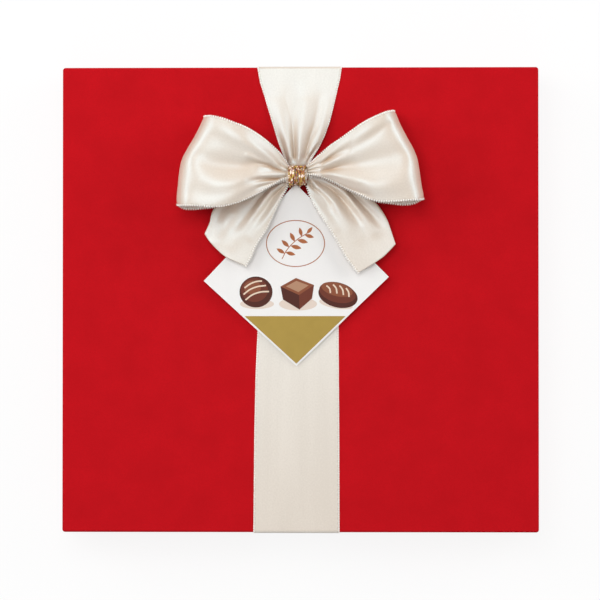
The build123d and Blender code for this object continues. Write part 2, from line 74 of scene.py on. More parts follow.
# %% [markdown]
# The camera hangs 1.2 m over the lid, a hair to the right and below its middle, which
# gives the photograph's slight keystone. A long lens keeps the walls out of sight. Every
# outline below is read off the photograph in its own 600 by 600 pixels, and a pixel's
# ray is cut with a level plane or with the tag's plane to find the place in the box.

# %% Camera
IMAGE_SIDE = 600
LID_MM_PER_PX = 0.4406
BOX_CENTRE_PX = (300.2, 299.5)
CAMERA_HEIGHT = 1.2
CAMERA_RIGHT = 0.024
CAMERA_BELOW = 0.019
SENSOR = 36.0
CLIP_END = 10

field_width = IMAGE_SIDE * LID_MM_PER_PX * MM
aim = Vector(
    (
        (IMAGE_SIDE / 2 - BOX_CENTRE_PX[0]) * LID_MM_PER_PX * MM,
        (BOX_CENTRE_PX[1] - IMAGE_SIDE / 2) * LID_MM_PER_PX * MM,
        lid_top,
    )
)
camera_data = bpy.data.cameras.new("camera")
camera_data.sensor_width = SENSOR
camera_data.lens = SENSOR * CAMERA_HEIGHT / field_width
camera_data.clip_end = CLIP_END
camera = placed("camera", camera_data)
scene.camera = camera
camera_place = aim + Vector((CAMERA_RIGHT, -CAMERA_BELOW, CAMERA_HEIGHT))
backward = (camera_place - aim).normalized()
rightward = Vector((0, 1, 0)).cross(backward).normalized()
upward = backward.cross(rightward)
facing = Matrix((rightward, upward, backward)).transposed().to_4x4()
camera.matrix_world = Matrix.Translation(camera_place) @ facing
print("lens", round(camera_data.lens, 1), "mm")


def pixel_on_plane(px, py, point, normal):
    """Where the photograph's pixel meets a plane, in the box's frame."""
    per_pixel = SENSOR / camera_data.lens / IMAGE_SIDE
    right, up = (px - IMAGE_SIDE / 2) * per_pixel, (IMAGE_SIDE / 2 - py) * per_pixel
    ray = rightward * right + upward * up - backward
    reach = (point - camera_place).dot(normal) / ray.dot(normal)
    return camera_place + ray * reach


def pixel_at(px, py, rise_mm):
    """Where the photograph's pixel lies at a height over the lid's face."""
    return pixel_on_plane(px, py, Vector((0, 0, lid_top + rise_mm * MM)), Vector((0, 0, 1)))


# %% [markdown]
# Two helpers serve every material: one turns a hex colour, as a designer writes it, into
# the linear values that shaders use, and one adds a node with its settings and links.
# Paper, card, foil, cord and chocolate share one build: colours laid over a ground
# colour where a noise is high, and a fine tooth that breaks up the highlight.

# %% Material helpers


def linear(hex_colour, alpha=1.0):
    """An sRGB hex colour as linear RGBA."""
    values = [int(hex_colour[index : index + 2], 16) / 255 for index in (0, 2, 4)]
    return tuple(v / 12.92 if v <= 0.04045 else ((v + 0.055) / 1.055) ** 2.4 for v in values) + (alpha,)


def add_node(tree, kind, inputs=None, **settings):
    """A node with its settings; an input is a value, or another node's output to link."""
    node = tree.nodes.new(kind)
    for name, value in settings.items():
        setattr(node, name, value)
    for socket, value in (inputs or {}).items():
        if isinstance(value, bpy.types.NodeSocket):
            tree.links.new(value, node.inputs[socket])
        else:
            node.inputs[socket].default_value = value
    return node


def new_material(name):
    """An empty node material with its output, ready for a surface."""
    material = bpy.data.materials.new(name)
    material.use_nodes = True
    material.node_tree.nodes.clear()
    tree = material.node_tree
    return material, tree, tree.nodes.new("ShaderNodeOutputMaterial")


def layered(name, ground, layers, tooth, finish):
    """A material of colour layers over a ground colour, its noises in object space.

    A grain is a noise's size and detail. Each layer is its grains, multiplied, then the
    range of them that shows and its colour. The tooth is a grain, a strength and a depth.
    """
    material, tree, output = new_material(name)
    place = add_node(tree, "ShaderNodeTexCoord").outputs["Object"]
    noise = {
        grain: add_node(
            tree, "ShaderNodeTexNoise", {"Vector": place, "Scale": 1 / grain[0], "Detail": grain[1]}
        ).outputs["Fac"]
        for grain in sorted({tooth[0], *(grain for layer in layers for grain in layer[0])})
    }
    tint = linear(ground)
    for grains, (low, high), colour in layers:
        shade = noise[grains[0]]
        for grain in grains[1:]:
            both = add_node(tree, "ShaderNodeMath", {0: shade, 1: noise[grain]}, operation="MULTIPLY")
            shade = both.outputs[0]
        shade = add_node(tree, "ShaderNodeMapRange", {"Value": shade, "From Min": low, "From Max": high})
        colours = {"Factor": shade.outputs[0], "A": tint, "B": linear(colour)}
        tint = add_node(tree, "ShaderNodeMix", colours, data_type="RGBA").outputs["Result"]
    grain, strength, depth = tooth
    bump = add_node(
        tree, "ShaderNodeBump", {"Height": noise[grain], "Strength": strength, "Distance": depth}
    )
    surface = {"Base Color": tint, "Normal": bump.outputs["Normal"], **finish}
    surface = add_node(tree, "ShaderNodeBsdfPrincipled", surface)
    tree.links.new(surface.outputs["BSDF"], output.inputs["Surface"])
    return material


def dress(obj, material):
    """Puts one material on the whole piece."""
    obj.data.materials.clear()
    obj.data.materials.append(material)


print("material helpers ready")


# %% [markdown]
# The lid and the base wear dyed, uncoated cover paper, glued over the board. Its colour
# is deep and nearly matte, with short fibres that mottle it a little and a faint tooth
# that catches the light. The fibres are about half a millimetre long.

# %% Red cover paper
FIBRE_GRAIN = (0.6 * MM, 4)
MOTTLE_GRAIN = (14 * MM, 2)
red_paper = layered(
    "red_cover_paper",
    "BD0E18",
    [((FIBRE_GRAIN, MOTTLE_GRAIN), (0.1, 0.4), "C8101B")],
    (FIBRE_GRAIN, 0.35, 0.05 * MM),
    {"Roughness": 0.8, "IOR": 1.45, "Specular IOR Level": 0.08},
)
for node in ("lid_wrap", "base_wrap"):
    dress(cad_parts[node], red_paper)
print("red paper on the lid and the base")

# %% [markdown]
# The ribbon is double-face satin, 38 mm wide: long smooth floats of polyester that run
# along it, so a highlight on it stretches across its width. The floats throw back a
# whiter light than the cream cloth under them. Its threads lie about 0.15 mm apart, too
# fine to show, so the weave is drawn as a grain of 0.8 mm with a few faint slubs. Just
# inside each selvedge a dashed brown line is painted in, a painted shadow of the beads.
# Deep in a crease the colour is painted warmer and darker, a painted shade for light
# that has gone from wall to wall of cream cloth. The mesh carries how sharply it is
# creased, and the painted shade follows that.

# %% Satin ribbon
RIBBON_WIDTH = 38 * MM
RIBBON_THICKNESS = 0.35 * MM
GRAIN_SIZE = 0.8 * MM
SLUB_LENGTH = 9 * MM
BEAD_SPACING = 1.05 * MM
# Painted bead shadow: a dashed brown line just inside each selvedge
BEAD_SHADOW_INSET = 0.6 * MM
BEAD_SHADOW_WIDTH = 0.16 * MM
BEAD_SHADOW_GAP_SHARE = 0.45
BEAD_SHADOW_STRENGTH = 0.3
SLUB_STRETCH = 0.1


def satin(name, colour, shade_colour, bead_shadow_colour, crease_shade_colour):
    """Polyester satin: the pattern follows the ribbon's own UV map, in metres."""
    material, tree, output = new_material(name)
    place = add_node(tree, "ShaderNodeUVMap", uv_map="cloth").outputs["UV"]
    across = add_node(tree, "ShaderNodeMapping", {"Vector": place, "Scale": (SLUB_STRETCH, 1, 1)})
    grain, slubs = (
        add_node(tree, "ShaderNodeTexNoise", {"Vector": spots, "Scale": 1 / size, "Detail": 2})
        for spots, size in ((place, GRAIN_SIZE), (across.outputs["Vector"], SLUB_LENGTH))
    )
    weave = {0: grain.outputs["Fac"], 1: slubs.outputs["Fac"]}
    weave = add_node(tree, "ShaderNodeMath", weave, operation="ADD").outputs[0]
    shade = add_node(tree, "ShaderNodeMapRange", {"Value": weave, "From Min": 0.75, "From Max": 1.25})
    # Painted bead shadow: a dashed brown line just inside each selvedge, broken at every second bead
    parts = add_node(tree, "ShaderNodeSeparateXYZ", {"Vector": place})
    line, bead_shadow = parts.outputs["Y"], parts.outputs["X"]
    for operation, operands in (
        ("ADD", {1: -RIBBON_WIDTH / 2}),
        ("ABSOLUTE", {}),
        ("COMPARE", {1: RIBBON_WIDTH / 2 - BEAD_SHADOW_INSET, 2: BEAD_SHADOW_WIDTH}),
    ):
        line = add_node(tree, "ShaderNodeMath", {0: line, **operands}, operation=operation).outputs[0]
    for operation, operand in (
        ("PINGPONG", BEAD_SPACING),
        ("GREATER_THAN", BEAD_SPACING * BEAD_SHADOW_GAP_SHARE),
        ("MULTIPLY", line),
        ("MULTIPLY", BEAD_SHADOW_STRENGTH),
    ):
        bead_shadow = add_node(tree, "ShaderNodeMath", {0: bead_shadow, 1: operand}, operation=operation).outputs[0]
    # Painted crease shade: the mesh's crease value turns the colour warmer and darker
    crease_shade_mask = add_node(tree, "ShaderNodeAttribute", attribute_name="crease_shade").outputs["Fac"]
    tint = linear(shade_colour)
    for factor, tone in ((shade.outputs[0], colour), (bead_shadow, bead_shadow_colour), (crease_shade_mask, crease_shade_colour)):
        colours = {"Factor": factor, "A": tint, "B": linear(tone)}
        tint = add_node(tree, "ShaderNodeMix", colours, data_type="RGBA").outputs["Result"]
    bump = {"Height": grain.outputs["Fac"], "Strength": 0.16, "Distance": 0.05 * MM}
    along = add_node(tree, "ShaderNodeTangent", direction_type="UV_MAP", uv_map="cloth")
    surface = add_node(
        tree,
        "ShaderNodeBsdfPrincipled",
        {
            "Base Color": tint,
            "Normal": add_node(tree, "ShaderNodeBump", bump).outputs["Normal"],
            "Tangent": along.outputs["Tangent"],
            "Roughness": 0.43,
            "IOR": 1.8,
            "Specular IOR Level": 1,
            "Specular Tint": linear("BCEBFF"),
            "Anisotropic": 0.6,
            "Anisotropic Rotation": 0.25,
        },
    )
    tree.links.new(surface.outputs["BSDF"], output.inputs["Surface"])
    return material


# Woven polyester satin: broad soft highlights, with a painted warm shade deep in its folds and a painted
# bead shadow by its edges
cream_satin = satin("cream_polyester_satin", "EAD8C6", "E1CEBB", "B08C6C", "CDA681")
print("satin ready, ribbon", RIBBON_WIDTH / MM, "mm wide")

# %% [markdown]
# A ribbon stretch is a grid: rows follow it, columns cross it. The grid's own row and
# column lengths become its UV map in metres, so the threads stay the same size all over.
# Solidify then gives it the real thickness of the cloth.

# %% Ribbon helpers
CURVE_SAMPLES = 400
STROKE_SAMPLES = 120
# How steeply a stroke's side must fall to start and to fill its painted crease shade
CREASE_SHADE_STEEPNESS = (0.05, 2.3)


def run_along(points):
    """How far along a line each of its points lies."""
    return np.r_[0, np.cumsum(np.linalg.norm(np.diff(points, axis=0), axis=1))]


def curve_through(points, shares):
    """A smooth curve through given points, read at shares of its length."""
    points = np.array(points, float)
    steps = np.r_[0, np.cumsum(np.linalg.norm(np.diff(points, axis=0), axis=1) ** 0.5)]
    knots = steps / steps[-1]
    slopes = np.gradient(points, knots, axis=0)
    fine = np.linspace(0, 1, CURVE_SAMPLES)
    index = np.clip(np.searchsorted(knots, fine, side="right") - 1, 0, len(knots) - 2)
    gap = (knots[index + 1] - knots[index])[:, None]
    part = (fine - knots[index])[:, None] / gap
    curve = (
        points[index] * (2 * part**3 - 3 * part**2 + 1)
        + slopes[index] * gap * (part**3 - 2 * part**2 + part)
        + points[index + 1] * (3 * part**2 - 2 * part**3)
        + slopes[index + 1] * gap * (part**3 - part**2)
    )
    run = run_along(curve)
    return np.stack([np.interp(shares, run / run[-1], line) for line in curve.T], axis=-1)


def sculpted(spots, strokes):
    """Height in mm that strokes add at pixels, and the painted crease shade they give.

    A stroke is a line of points: x and y in pixels, height in mm, half width in pixels.
    """
    lift, crease_shade = np.zeros(len(spots)), np.zeros(len(spots))
    for stroke in strokes:
        line = curve_through(stroke, np.linspace(0, 1, STROKE_SAMPLES))
        gaps = np.linalg.norm(spots[:, None] - line[None, :, :2], axis=2)
        nearest = gaps.argmin(axis=1)
        height, half_width = line[nearest, 2], line[nearest, 3]
        near = np.exp(-((gaps.min(axis=1) / half_width) ** 2))
        steepness = -height / (half_width * LID_MM_PER_PX)
        lift += height * near
        # Painted crease shade where a stroke's side falls steeply
        crease_shade += near * np.interp(steepness, CREASE_SHADE_STEEPNESS, (0, 1))
    return lift, np.clip(crease_shade, 0, 1)


def grid_mesh(name, grid, crease_shade=None):
    """A mesh from rows by columns of points, with its cloth UV map in metres."""
    rows, columns = grid.shape[:2]
    faces = [
        (r * columns + c, r * columns + c + 1, (r + 1) * columns + c + 1, (r + 1) * columns + c)
        for r in range(rows - 1)
        for c in range(columns - 1)
    ]
    mesh = bpy.data.meshes.new(name)
    mesh.from_pydata(grid.reshape(-1, 3).tolist(), [], faces)
    along = np.linalg.norm(np.diff(grid, axis=0), axis=2).mean(axis=1)
    across = np.linalg.norm(np.diff(grid, axis=1), axis=2).mean(axis=0)
    u = np.r_[0, np.cumsum(along)]
    v = np.r_[0, np.cumsum(across)] * RIBBON_WIDTH / across.sum()
    layer = mesh.uv_layers.new(name="cloth")
    spots = np.empty(len(mesh.loops), int)
    mesh.loops.foreach_get("vertex_index", spots)
    layer.data.foreach_set("uv", np.stack([u[spots // columns], v[spots % columns]], axis=-1).ravel())
    # The painted crease shade rides on the mesh, for the satin's colour
    if crease_shade is not None:
        layer = mesh.attributes.new("crease_shade", "FLOAT", "POINT")
        layer.data.foreach_set("value", np.asarray(crease_shade, float).ravel())
    mesh.polygons.foreach_set("use_smooth", [True] * len(mesh.polygons))
    return placed(name, mesh)


def closed(obj, *others, weld):
    """Welds a piece with others, fills its open ends and turns its faces outward."""
    shell = bmesh.new()
    for piece in (obj, *others):
        shell.from_mesh(piece.data)
    bmesh.ops.remove_doubles(shell, verts=shell.verts, dist=weld)
    bmesh.ops.holes_fill(shell, edges=shell.edges, sides=0)
    bmesh.ops.recalc_face_normals(shell, faces=shell.faces)
    shell.to_mesh(obj.data)
    shell.free()
    for piece in others:
        bpy.data.objects.remove(piece)


def ribbon_piece(name, stands_for, grid, crease_shade, flip=False):
    """A satin piece from its middle surface, thickened evenly to both sides, on the lid."""
    obj = grid_mesh(name, grid[:, ::-1], crease_shade[:, ::-1]) if flip else grid_mesh(name, grid, crease_shade)
    solidify = obj.modifiers.new("cloth thickness", "SOLIDIFY")
    solidify.thickness = RIBBON_THICKNESS
    solidify.offset = 0
    dress(obj, cream_satin)
    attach(obj, "lid")
    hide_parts(stands_for)
    return obj


def run_length(grid):
    """The ribbon's length along its middle column, in metres."""
    middle = grid[:, grid.shape[1] // 2]
    return float(np.linalg.norm(np.diff(middle, axis=0), axis=1).sum())


print("ribbon helpers ready")

# %% [markdown]
# The band is one length of ribbon. It is glued inside the lid's back wall, comes round
# the rim, up the wall and over the edge, is drawn in to a quarter of its width under the
# bow, spreads flat again and goes down the front wall and under the rim. Its side view
# is a path in the YZ plane, and its edges over the face are read off the photograph.

# %% Ribbon band
BAND_ROWS_PER_MM = 1.1
BAND_COLUMNS = 61
EDGE_BEND = 1.0 * MM
RIM_BEND = 0.45 * MM
BEND_STEPS = 7
LID_WALL = 2.0 * MM
TURN_IN = 11.5 * MM
KNOT_OVERLAP = 1.4 * MM
BAND_LEFT_EDGE_PX = (
    (257.9, 67.2), (260.6, 82.5), (264.9, 95.9), (269.7, 112.2), (274.4, 127.5), (278.3, 140.9),
    (282.1, 151.4), (285.9, 160), (288.8, 166.5), (288.8, 178), (293, 185), (291.5, 191), (287, 199),
    (281, 208), (269, 219), (263, 232), (259.5, 250), (258.6, 300), (258.2, 331), (256.2, 375), (255, 430),
    (254, 532),
)
BAND_RIGHT_EDGE_PX = (
    (341.1, 67.7), (339.5, 78.7), (336.6, 91.1), (332.8, 107.4), (329, 122.7), (324.2, 136.1),
    (318.4, 148.5), (312.7, 157.1), (307.9, 166), (307.6, 178), (299.5, 185), (299.8, 191), (304.5, 199),
    (311, 208), (325, 219), (334, 232), (337.4, 250), (337.7, 300), (338, 331), (338.2, 375), (338.6, 430),
    (338.9, 532),
)
BAND_CREST_Y_SHARES = (0, 0.12, 0.3, 0.5, 0.7, 0.85, 1)
BAND_CREST_MM = (0, 0.05, 0.4, 1.3, 2.4, 3.1, 3.4)
BAND_WAIST_CREST_MM = 2.0
BAND_FRONT_CREST_MM = 1.5
BAND_CREST_FALL = 0.35
BAND_FRONT_FADE = 25 * MM
FULL_FOLD_CREST = 0.6 * MM
# Folds of the drawn-in band, as strokes
BAND_STROKES = (
    ((289.5, 82, -0.4, 9), (291.4, 107, -1.3, 7), (293, 132, -1.8, 4.2), (294.8, 157, -1.9, 2.2)),
    ((308, 78, 0.3, 9), (303.5, 114, 0.8, 7), (300, 140, 0.9, 4), (298.5, 160, 0.7, 2.4)),
    ((321, 98, -0.5, 6), (315, 125, -1.2, 4.4), (309.6, 140, -1.4, 2.8), (304.6, 158, -1.2, 1.9)),
    ((276, 105, 0.4, 9), (286.5, 140, 0.9, 4.4), (290.8, 158, 0.8, 2.2)),
    ((279.8, 137, -0.3, 2.6), (283.7, 149, -1, 2.4), (286.8, 160, -1.2, 1.8)),
    ((327, 100, 0.3, 6), (318.5, 138, 0.7, 3.6), (310.4, 153, 0.6, 2.2)),
    ((317, 146, -0.2, 1.8), (311.2, 155.5, -0.8, 1.6), (307.6, 161, -0.8, 1.4)),
)

front_y, back_y = band_low.y, band_high.y
rim_z = band_low.z
inside_front_y = lid_low.y + LID_WALL + RIBBON_THICKNESS / 2
inside_back_y = lid_high.y - LID_WALL - RIBBON_THICKNESS / 2
turn_in_top = lid_low.z + TURN_IN
top_z = lid_top + RIBBON_THICKNESS / 2
half_cloth = RIBBON_THICKNESS / 2


def rounded_path(corners, radii, spacing):
    """Straight runs joined by round bends, in the YZ plane, sampled evenly."""
    points = [np.array(corners[0], float)]
    for before, corner, after, radius in zip(corners, corners[1:], corners[2:], radii):
        before, corner, after = (np.array(value, float) for value in (before, corner, after))
        back = (before - corner) / np.linalg.norm(before - corner)
        ahead = (after - corner) / np.linalg.norm(after - corner)
        for angle in np.linspace(0, math.pi / 2, BEND_STEPS):
            shift = back * (1 - math.sin(angle)) + ahead * (1 - math.cos(angle))
            points.append(corner + radius * shift)
    points.append(np.array(corners[-1], float))
    points = np.array(points)
    run = run_along(points)
    samples = np.unique(np.r_[np.arange(0, run[-1], spacing), run])
    return np.stack([np.interp(samples, run, line) for line in points.T], axis=-1)


band_path = rounded_path(
    (
        (inside_back_y, turn_in_top),
        (inside_back_y, rim_z + half_cloth),
        (back_y - half_cloth, rim_z + half_cloth),
        (back_y - half_cloth, top_z),
        (front_y + half_cloth, top_z),
        (front_y + half_cloth, rim_z + half_cloth),
        (inside_front_y, rim_z + half_cloth),
        (inside_front_y, turn_in_top),
    ),
    (RIM_BEND, RIM_BEND, EDGE_BEND, EDGE_BEND, RIM_BEND, RIM_BEND),
    1 * MM / BAND_ROWS_PER_MM,
)
left_edge = np.array([pixel_at(px, py, 0) for px, py in BAND_LEFT_EDGE_PX])
right_edge = np.array([pixel_at(px, py, 0) for px, py in BAND_RIGHT_EDGE_PX])
tie_low, tie_high = box_corners("bow_tie")
waist_back_y, waist_front_y = tie_high.y - KNOT_OVERLAP, tie_low.y
across = np.linspace(-1, 1, BAND_COLUMNS)


def band_crest(y):
    """How high the folds stand over the lid at a place along the band, in metres."""
    if y >= waist_back_y:
        way = (back_y - y) / (back_y - waist_back_y)
        return float(np.interp(way, BAND_CREST_Y_SHARES, BAND_CREST_MM)) * MM
    if y >= waist_front_y:
        return BAND_WAIST_CREST_MM * MM
    way = min((waist_front_y - y) / BAND_FRONT_FADE, 1)
    return BAND_FRONT_CREST_MM * MM * (1 - way) ** 2


band_rows, band_crease_shades = [], []
for y, z in band_path:
    left, right = (float(np.interp(-y, -edge[:, 1], edge[:, 0])) for edge in (left_edge, right_edge))
    x = (left + right) / 2 + (right - left) / 2 * across
    lift, crease_shade = np.zeros(BAND_COLUMNS), np.zeros(BAND_COLUMNS)
    if z > lid_top:
        crest = band_crest(y)
        fade = min(max(crest / FULL_FOLD_CREST, 0), 1)
        px = BOX_CENTRE_PX[0] + x / (LID_MM_PER_PX * MM)
        py = BOX_CENTRE_PX[1] - y / (LID_MM_PER_PX * MM)
        # The folds, and the painted crease shade in them
        folds, crease_shade = sculpted(np.stack([px, np.full(BAND_COLUMNS, py)], axis=-1), BAND_STROKES)
        lift = np.maximum(crest * (1 - BAND_CREST_FALL * across**2) + fade * folds * MM, 0)
    band_rows.append(np.stack([x, np.full(BAND_COLUMNS, y), z + lift], axis=-1))
    band_crease_shades.append(crease_shade)
band_grid = np.array(band_rows)
band = ribbon_piece("satin_band", "ribbon_band", band_grid, np.array(band_crease_shades))
print("band", len(band_grid), "rows,", round(run_length(band_grid) / MM), "mm of ribbon")

# %% [markdown]
# Each bow loop is a length of ribbon that leaves the waist in tight gathers, opens out
# over a soft crest, turns over at its outer fold and comes back underneath. From above
# the photograph gives its four border lines: both edges, the waist and the fold. A grid
# blended between those borders gives the plan of the top layer and of the layer below,
# and a drawn side view gives the height. Creases are narrow valleys that fan out
# from the waist and fade on the way to the fold.

# %% Bow loops
LOOP_ROWS = 150
LOOP_COLUMNS = 85
LOOP_RISE_MM = 19.5
LOOP_CROWN_MM = 1.2
LOOP_WAYS = 200
WAIST_GATHER_MM = 0.5
WAIST_GATHERS = 3.5
WAIST_GATHER_REACH = 0.12
# How much painted shade lies in the hollows of the gathers at the waist
WAIST_GATHER_SHADE = 0.6
# The side view: share of the way out, height share over the lid, share of under layer
LOOP_SIDE_SHARES = (
    (0, 0.44, 0), (0.08, 0.52, 0), (0.2, 0.67, 0), (0.36, 0.85, 0), (0.52, 0.96, 0), (0.68, 1, 0),
    (0.8, 0.995, 0), (0.88, 0.972, 0.01), (0.925, 0.935, 0.03), (0.957, 0.875, 0.07), (0.982, 0.775, 0.14),
    (0.997, 0.65, 0.25), (1, 0.52, 0.38), (0.99, 0.38, 0.55), (0.955, 0.26, 0.76), (0.9, 0.185, 0.94),
    (0.82, 0.155, 1), (0.72, 0.17, 1), (0.56, 0.23, 1), (0.36, 0.3, 1), (0.16, 0.345, 1), (0, 0.345, 1),
)
LEFT_LOOP = {
    "upper": (
        (288, 166), (279.8, 154), (268.3, 143), (256.8, 134.4), (245.4, 127.6), (233.9, 123),
        (222.4, 118.6), (210.9, 116.4), (204.6, 116.6),
    ),
    "lower": (
        (288, 178), (283.2, 179.2), (275.2, 182.7), (266, 187.8), (256.8, 193), (245.4, 198.7),
        (233.9, 203), (222.4, 205.6), (210.9, 206.2), (199.4, 205.4), (177.4, 204.6),
    ),
    "under": (
        (288, 179.3), (272, 185.4), (250, 197), (225, 206), (202.9, 208.8), (191.4, 209.8), (182.2, 209.4),
        (177.4, 205.6),
    ),
    "fold": (
        (177.4, 204.6), (177, 198), (178.2, 185), (179.7, 171.2), (182.2, 159.7), (188, 148.2),
        (194.8, 136.7), (200.6, 125.3), (204.6, 116.6),
    ),
}
RIGHT_LOOP = {
    "upper": (
        (307.2, 166), (313, 161.4), (318.7, 156.3), (330.2, 146.5), (341.7, 138.5), (354.3, 129.3),
        (365.8, 121.8), (377.2, 116.1), (387.6, 112), (393.9, 111.1),
    ),
    "lower": (
        (307.2, 174), (318.7, 175.2), (330.2, 179.2), (341.7, 185), (353.1, 190.7), (364.6, 196),
        (375, 200), (389.9, 200.9), (410.5, 199.6), (423.2, 198.6),
    ),
    "under": (
        (307.2, 175.8), (322, 177.6), (345, 188.4), (370, 199.9), (393.3, 204.1), (404.8, 205.2),
        (415.1, 204), (423.2, 199.6),
    ),
    "fold": (
        (423.2, 198.6), (423, 194), (421.4, 186.1), (419.2, 171.2), (416.9, 158.5), (413.4, 149.4),
        (407.1, 137.9), (400.2, 124.7), (395.6, 113.8), (393.9, 111.1),
    ),
}
# Folds of the loops, as strokes
LEFT_LOOP_STROKES = (
    (
        (199, 156, -0.8, 10), (212, 163, -2, 12), (230, 165, -2.6, 11), (246, 165, -2.1, 7),
        (257, 163, -1.7, 4), (267, 165, -1.9, 2.4), (275, 168.4, -1.7, 1.8), (281, 170.4, -0.8, 1.4),
    ),
    (
        (203, 178, 0.8, 11), (216, 184, 1.3, 10), (231, 184, 1.5, 8.5), (247, 179.5, 1.5, 5.5),
        (262, 176, 1.3, 3.6), (274, 174.4, 1.2, 2.6), (285, 174, 0.8, 2),
    ),
    (
        (206, 124, 0.6, 9), (222, 128, 1.6, 10), (240, 137, 2, 9), (255, 147, 1.6, 6), (268, 156, 1.2, 4),
        (277, 164, 0.9, 2.4),
    ),
    ((248, 155.4, 0.5, 3), (258, 160.2, 0.7, 2.2), (267, 163.2, 0.5, 1.6)),
    ((249, 180, -0.6, 3.6), (260, 179.4, -1.5, 2.8), (270, 179.2, -2.1, 2.1), (279, 178.8, -1.2, 1.5)),
    (
        (188, 202, 0.7, 8), (208, 204, 1, 8), (228, 199, 1.1, 7), (246, 189, 1, 4), (262, 182.6, 0.8, 2.6),
        (276, 181, 0.7, 1.8),
    ),
    ((258, 187, -0.5, 2.2), (272, 183, -0.9, 1.6), (280, 180.8, -0.6, 1.2)),
)
RIGHT_LOOP_STROKES = (
    (
        (405, 150, -0.7, 9), (392, 157, -1.7, 12), (375, 161, -2.2, 12), (358, 164, -2, 8),
        (344, 166, -1.9, 4.6), (332, 168.8, -2.3, 2.6), (322, 171.4, -1.5, 1.8),
    ),
    (
        (405, 178, 0.7, 10), (390, 184, 1.2, 10), (374, 186, 1.6, 9), (358, 181, 2, 6.5),
        (345, 177.6, 1.8, 4.4), (331, 174.4, 1.6, 2.8), (315, 174.2, 0.7, 2),
    ),
    (
        (385, 121, 1.1, 9), (365, 131, 1.5, 9), (347, 142, 1.3, 6), (331, 154, 0.8, 3.6),
        (320, 162, 0.5, 2.2),
    ),
    ((388, 123, -0.7, 4), (374, 134, -0.9, 5), (360, 143, -0.5, 5)),
    ((321, 163.6, -0.8, 1.6), (328, 159, -1.8, 2), (336, 154, -1.3, 2.8), (346, 148, -0.5, 4)),
    ((324, 165.4, 0.6, 1.8), (336, 160, 0.9, 2.6), (350, 154, 0.5, 4)),
    ((322, 176, -0.6, 1.5), (337, 183.4, -1.1, 1.7), (350, 189, -0.9, 2), (368, 195.4, -0.6, 3)),
)


def blended_grid(lower, upper, inner, outer, ways, shares):
    """A grid filled in from its four border curves, in pixels."""
    low, high = curve_through(lower, ways)[:, None], curve_through(upper, ways)[:, None]
    near, far = curve_through(inner, shares)[None], curve_through(outer, shares)[None]
    s, t = shares[None, :, None], ways[:, None, None]
    corners = (1 - t) * ((1 - s) * low[0] + s * high[0]) + t * ((1 - s) * low[-1] + s * high[-1])
    return (1 - s) * low + s * high + (1 - t) * near + t * far - corners


def loop_grid(outline, strokes):
    """One loop's middle surface, out from the waist, over the fold and back, and its painted crease shade.
    """
    side = curve_through(LOOP_SIDE_SHARES, np.linspace(0, 1, LOOP_ROWS))
    out, rise, under = np.clip(side[:, 0], 0, 1), side[:, 1], np.clip(side[:, 2], 0, 1)
    shares = np.linspace(0, 1, LOOP_COLUMNS)
    ways = np.linspace(0, 1, LOOP_WAYS)
    upper, fold = outline["upper"], outline["fold"]
    layers = [
        blended_grid(outline[edge], upper, (outline[edge][0], upper[0]), fold, ways, shares)
        for edge in ("lower", "under")
    ]
    rows, crease_shades = [], []
    for way, height, mix in zip(out, rise, under):
        top, below = (
            np.array([[np.interp(way, ways, line) for line in layer[:, :, axis].T] for axis in range(2)])
            for layer in layers
        )
        spot = (top * (1 - mix) + below * mix).T
        gather = math.exp(-((way / WAIST_GATHER_REACH) ** 2)) * np.cos(2 * math.pi * WAIST_GATHERS * shares)
        crown = LOOP_CROWN_MM * math.sin(math.pi * way) * (1 - (2 * shares - 1) ** 2)
        folds, crease_shade = sculpted(spot, strokes)
        heights = LOOP_RISE_MM * height + WAIST_GATHER_MM * gather + (folds + crown) * (1 - mix)
        rows.append([pixel_at(px, py, rise_mm) for (px, py), rise_mm in zip(spot, heights)])
        # Painted crease shade on the top layer, and painted shade in the hollows of the gathers at the
        # waist
        crease_shades.append(np.clip(crease_shade * (1 - mix) - WAIST_GATHER_SHADE * gather, 0, 1))
    return np.array(rows), np.array(crease_shades)


left_grid, left_crease_shades = loop_grid(LEFT_LOOP, LEFT_LOOP_STROKES)
right_grid, right_crease_shades = loop_grid(RIGHT_LOOP, RIGHT_LOOP_STROKES)
left_loop = ribbon_piece("satin_loop_left", "bow_loop_left", left_grid, left_crease_shades)
right_loop = ribbon_piece("satin_loop_right", "bow_loop_right", right_grid, right_crease_shades, flip=True)
loop_lengths = [round(run_length(grid) / MM) for grid in (left_grid, right_grid)]
print("loops", loop_lengths, "mm of ribbon")

# %% [markdown]
# The tails hang from under the waist. Each is folded lengthwise: its inner edge with the
# beaded selvedge and its painted bead shadow shows, while its outer edge rolls over and
# under. Both ends are cut on a slant. The same four-border grid gives the plan, and long
# soft pleats run along.

# %% Bow tails
TAIL_ROWS = 96
TAIL_COLUMNS = 81
TAIL_ROLL_MM = 0.5
TAIL_ROLL_START = 0.2
TAIL_ROLL_RATE = 5
TAIL_TUCK_SHARE = 0.62
TAIL_TUCK_FROM = 0.97
TAIL_TUCK_SPAN = 0.06
TAIL_FINE = 101
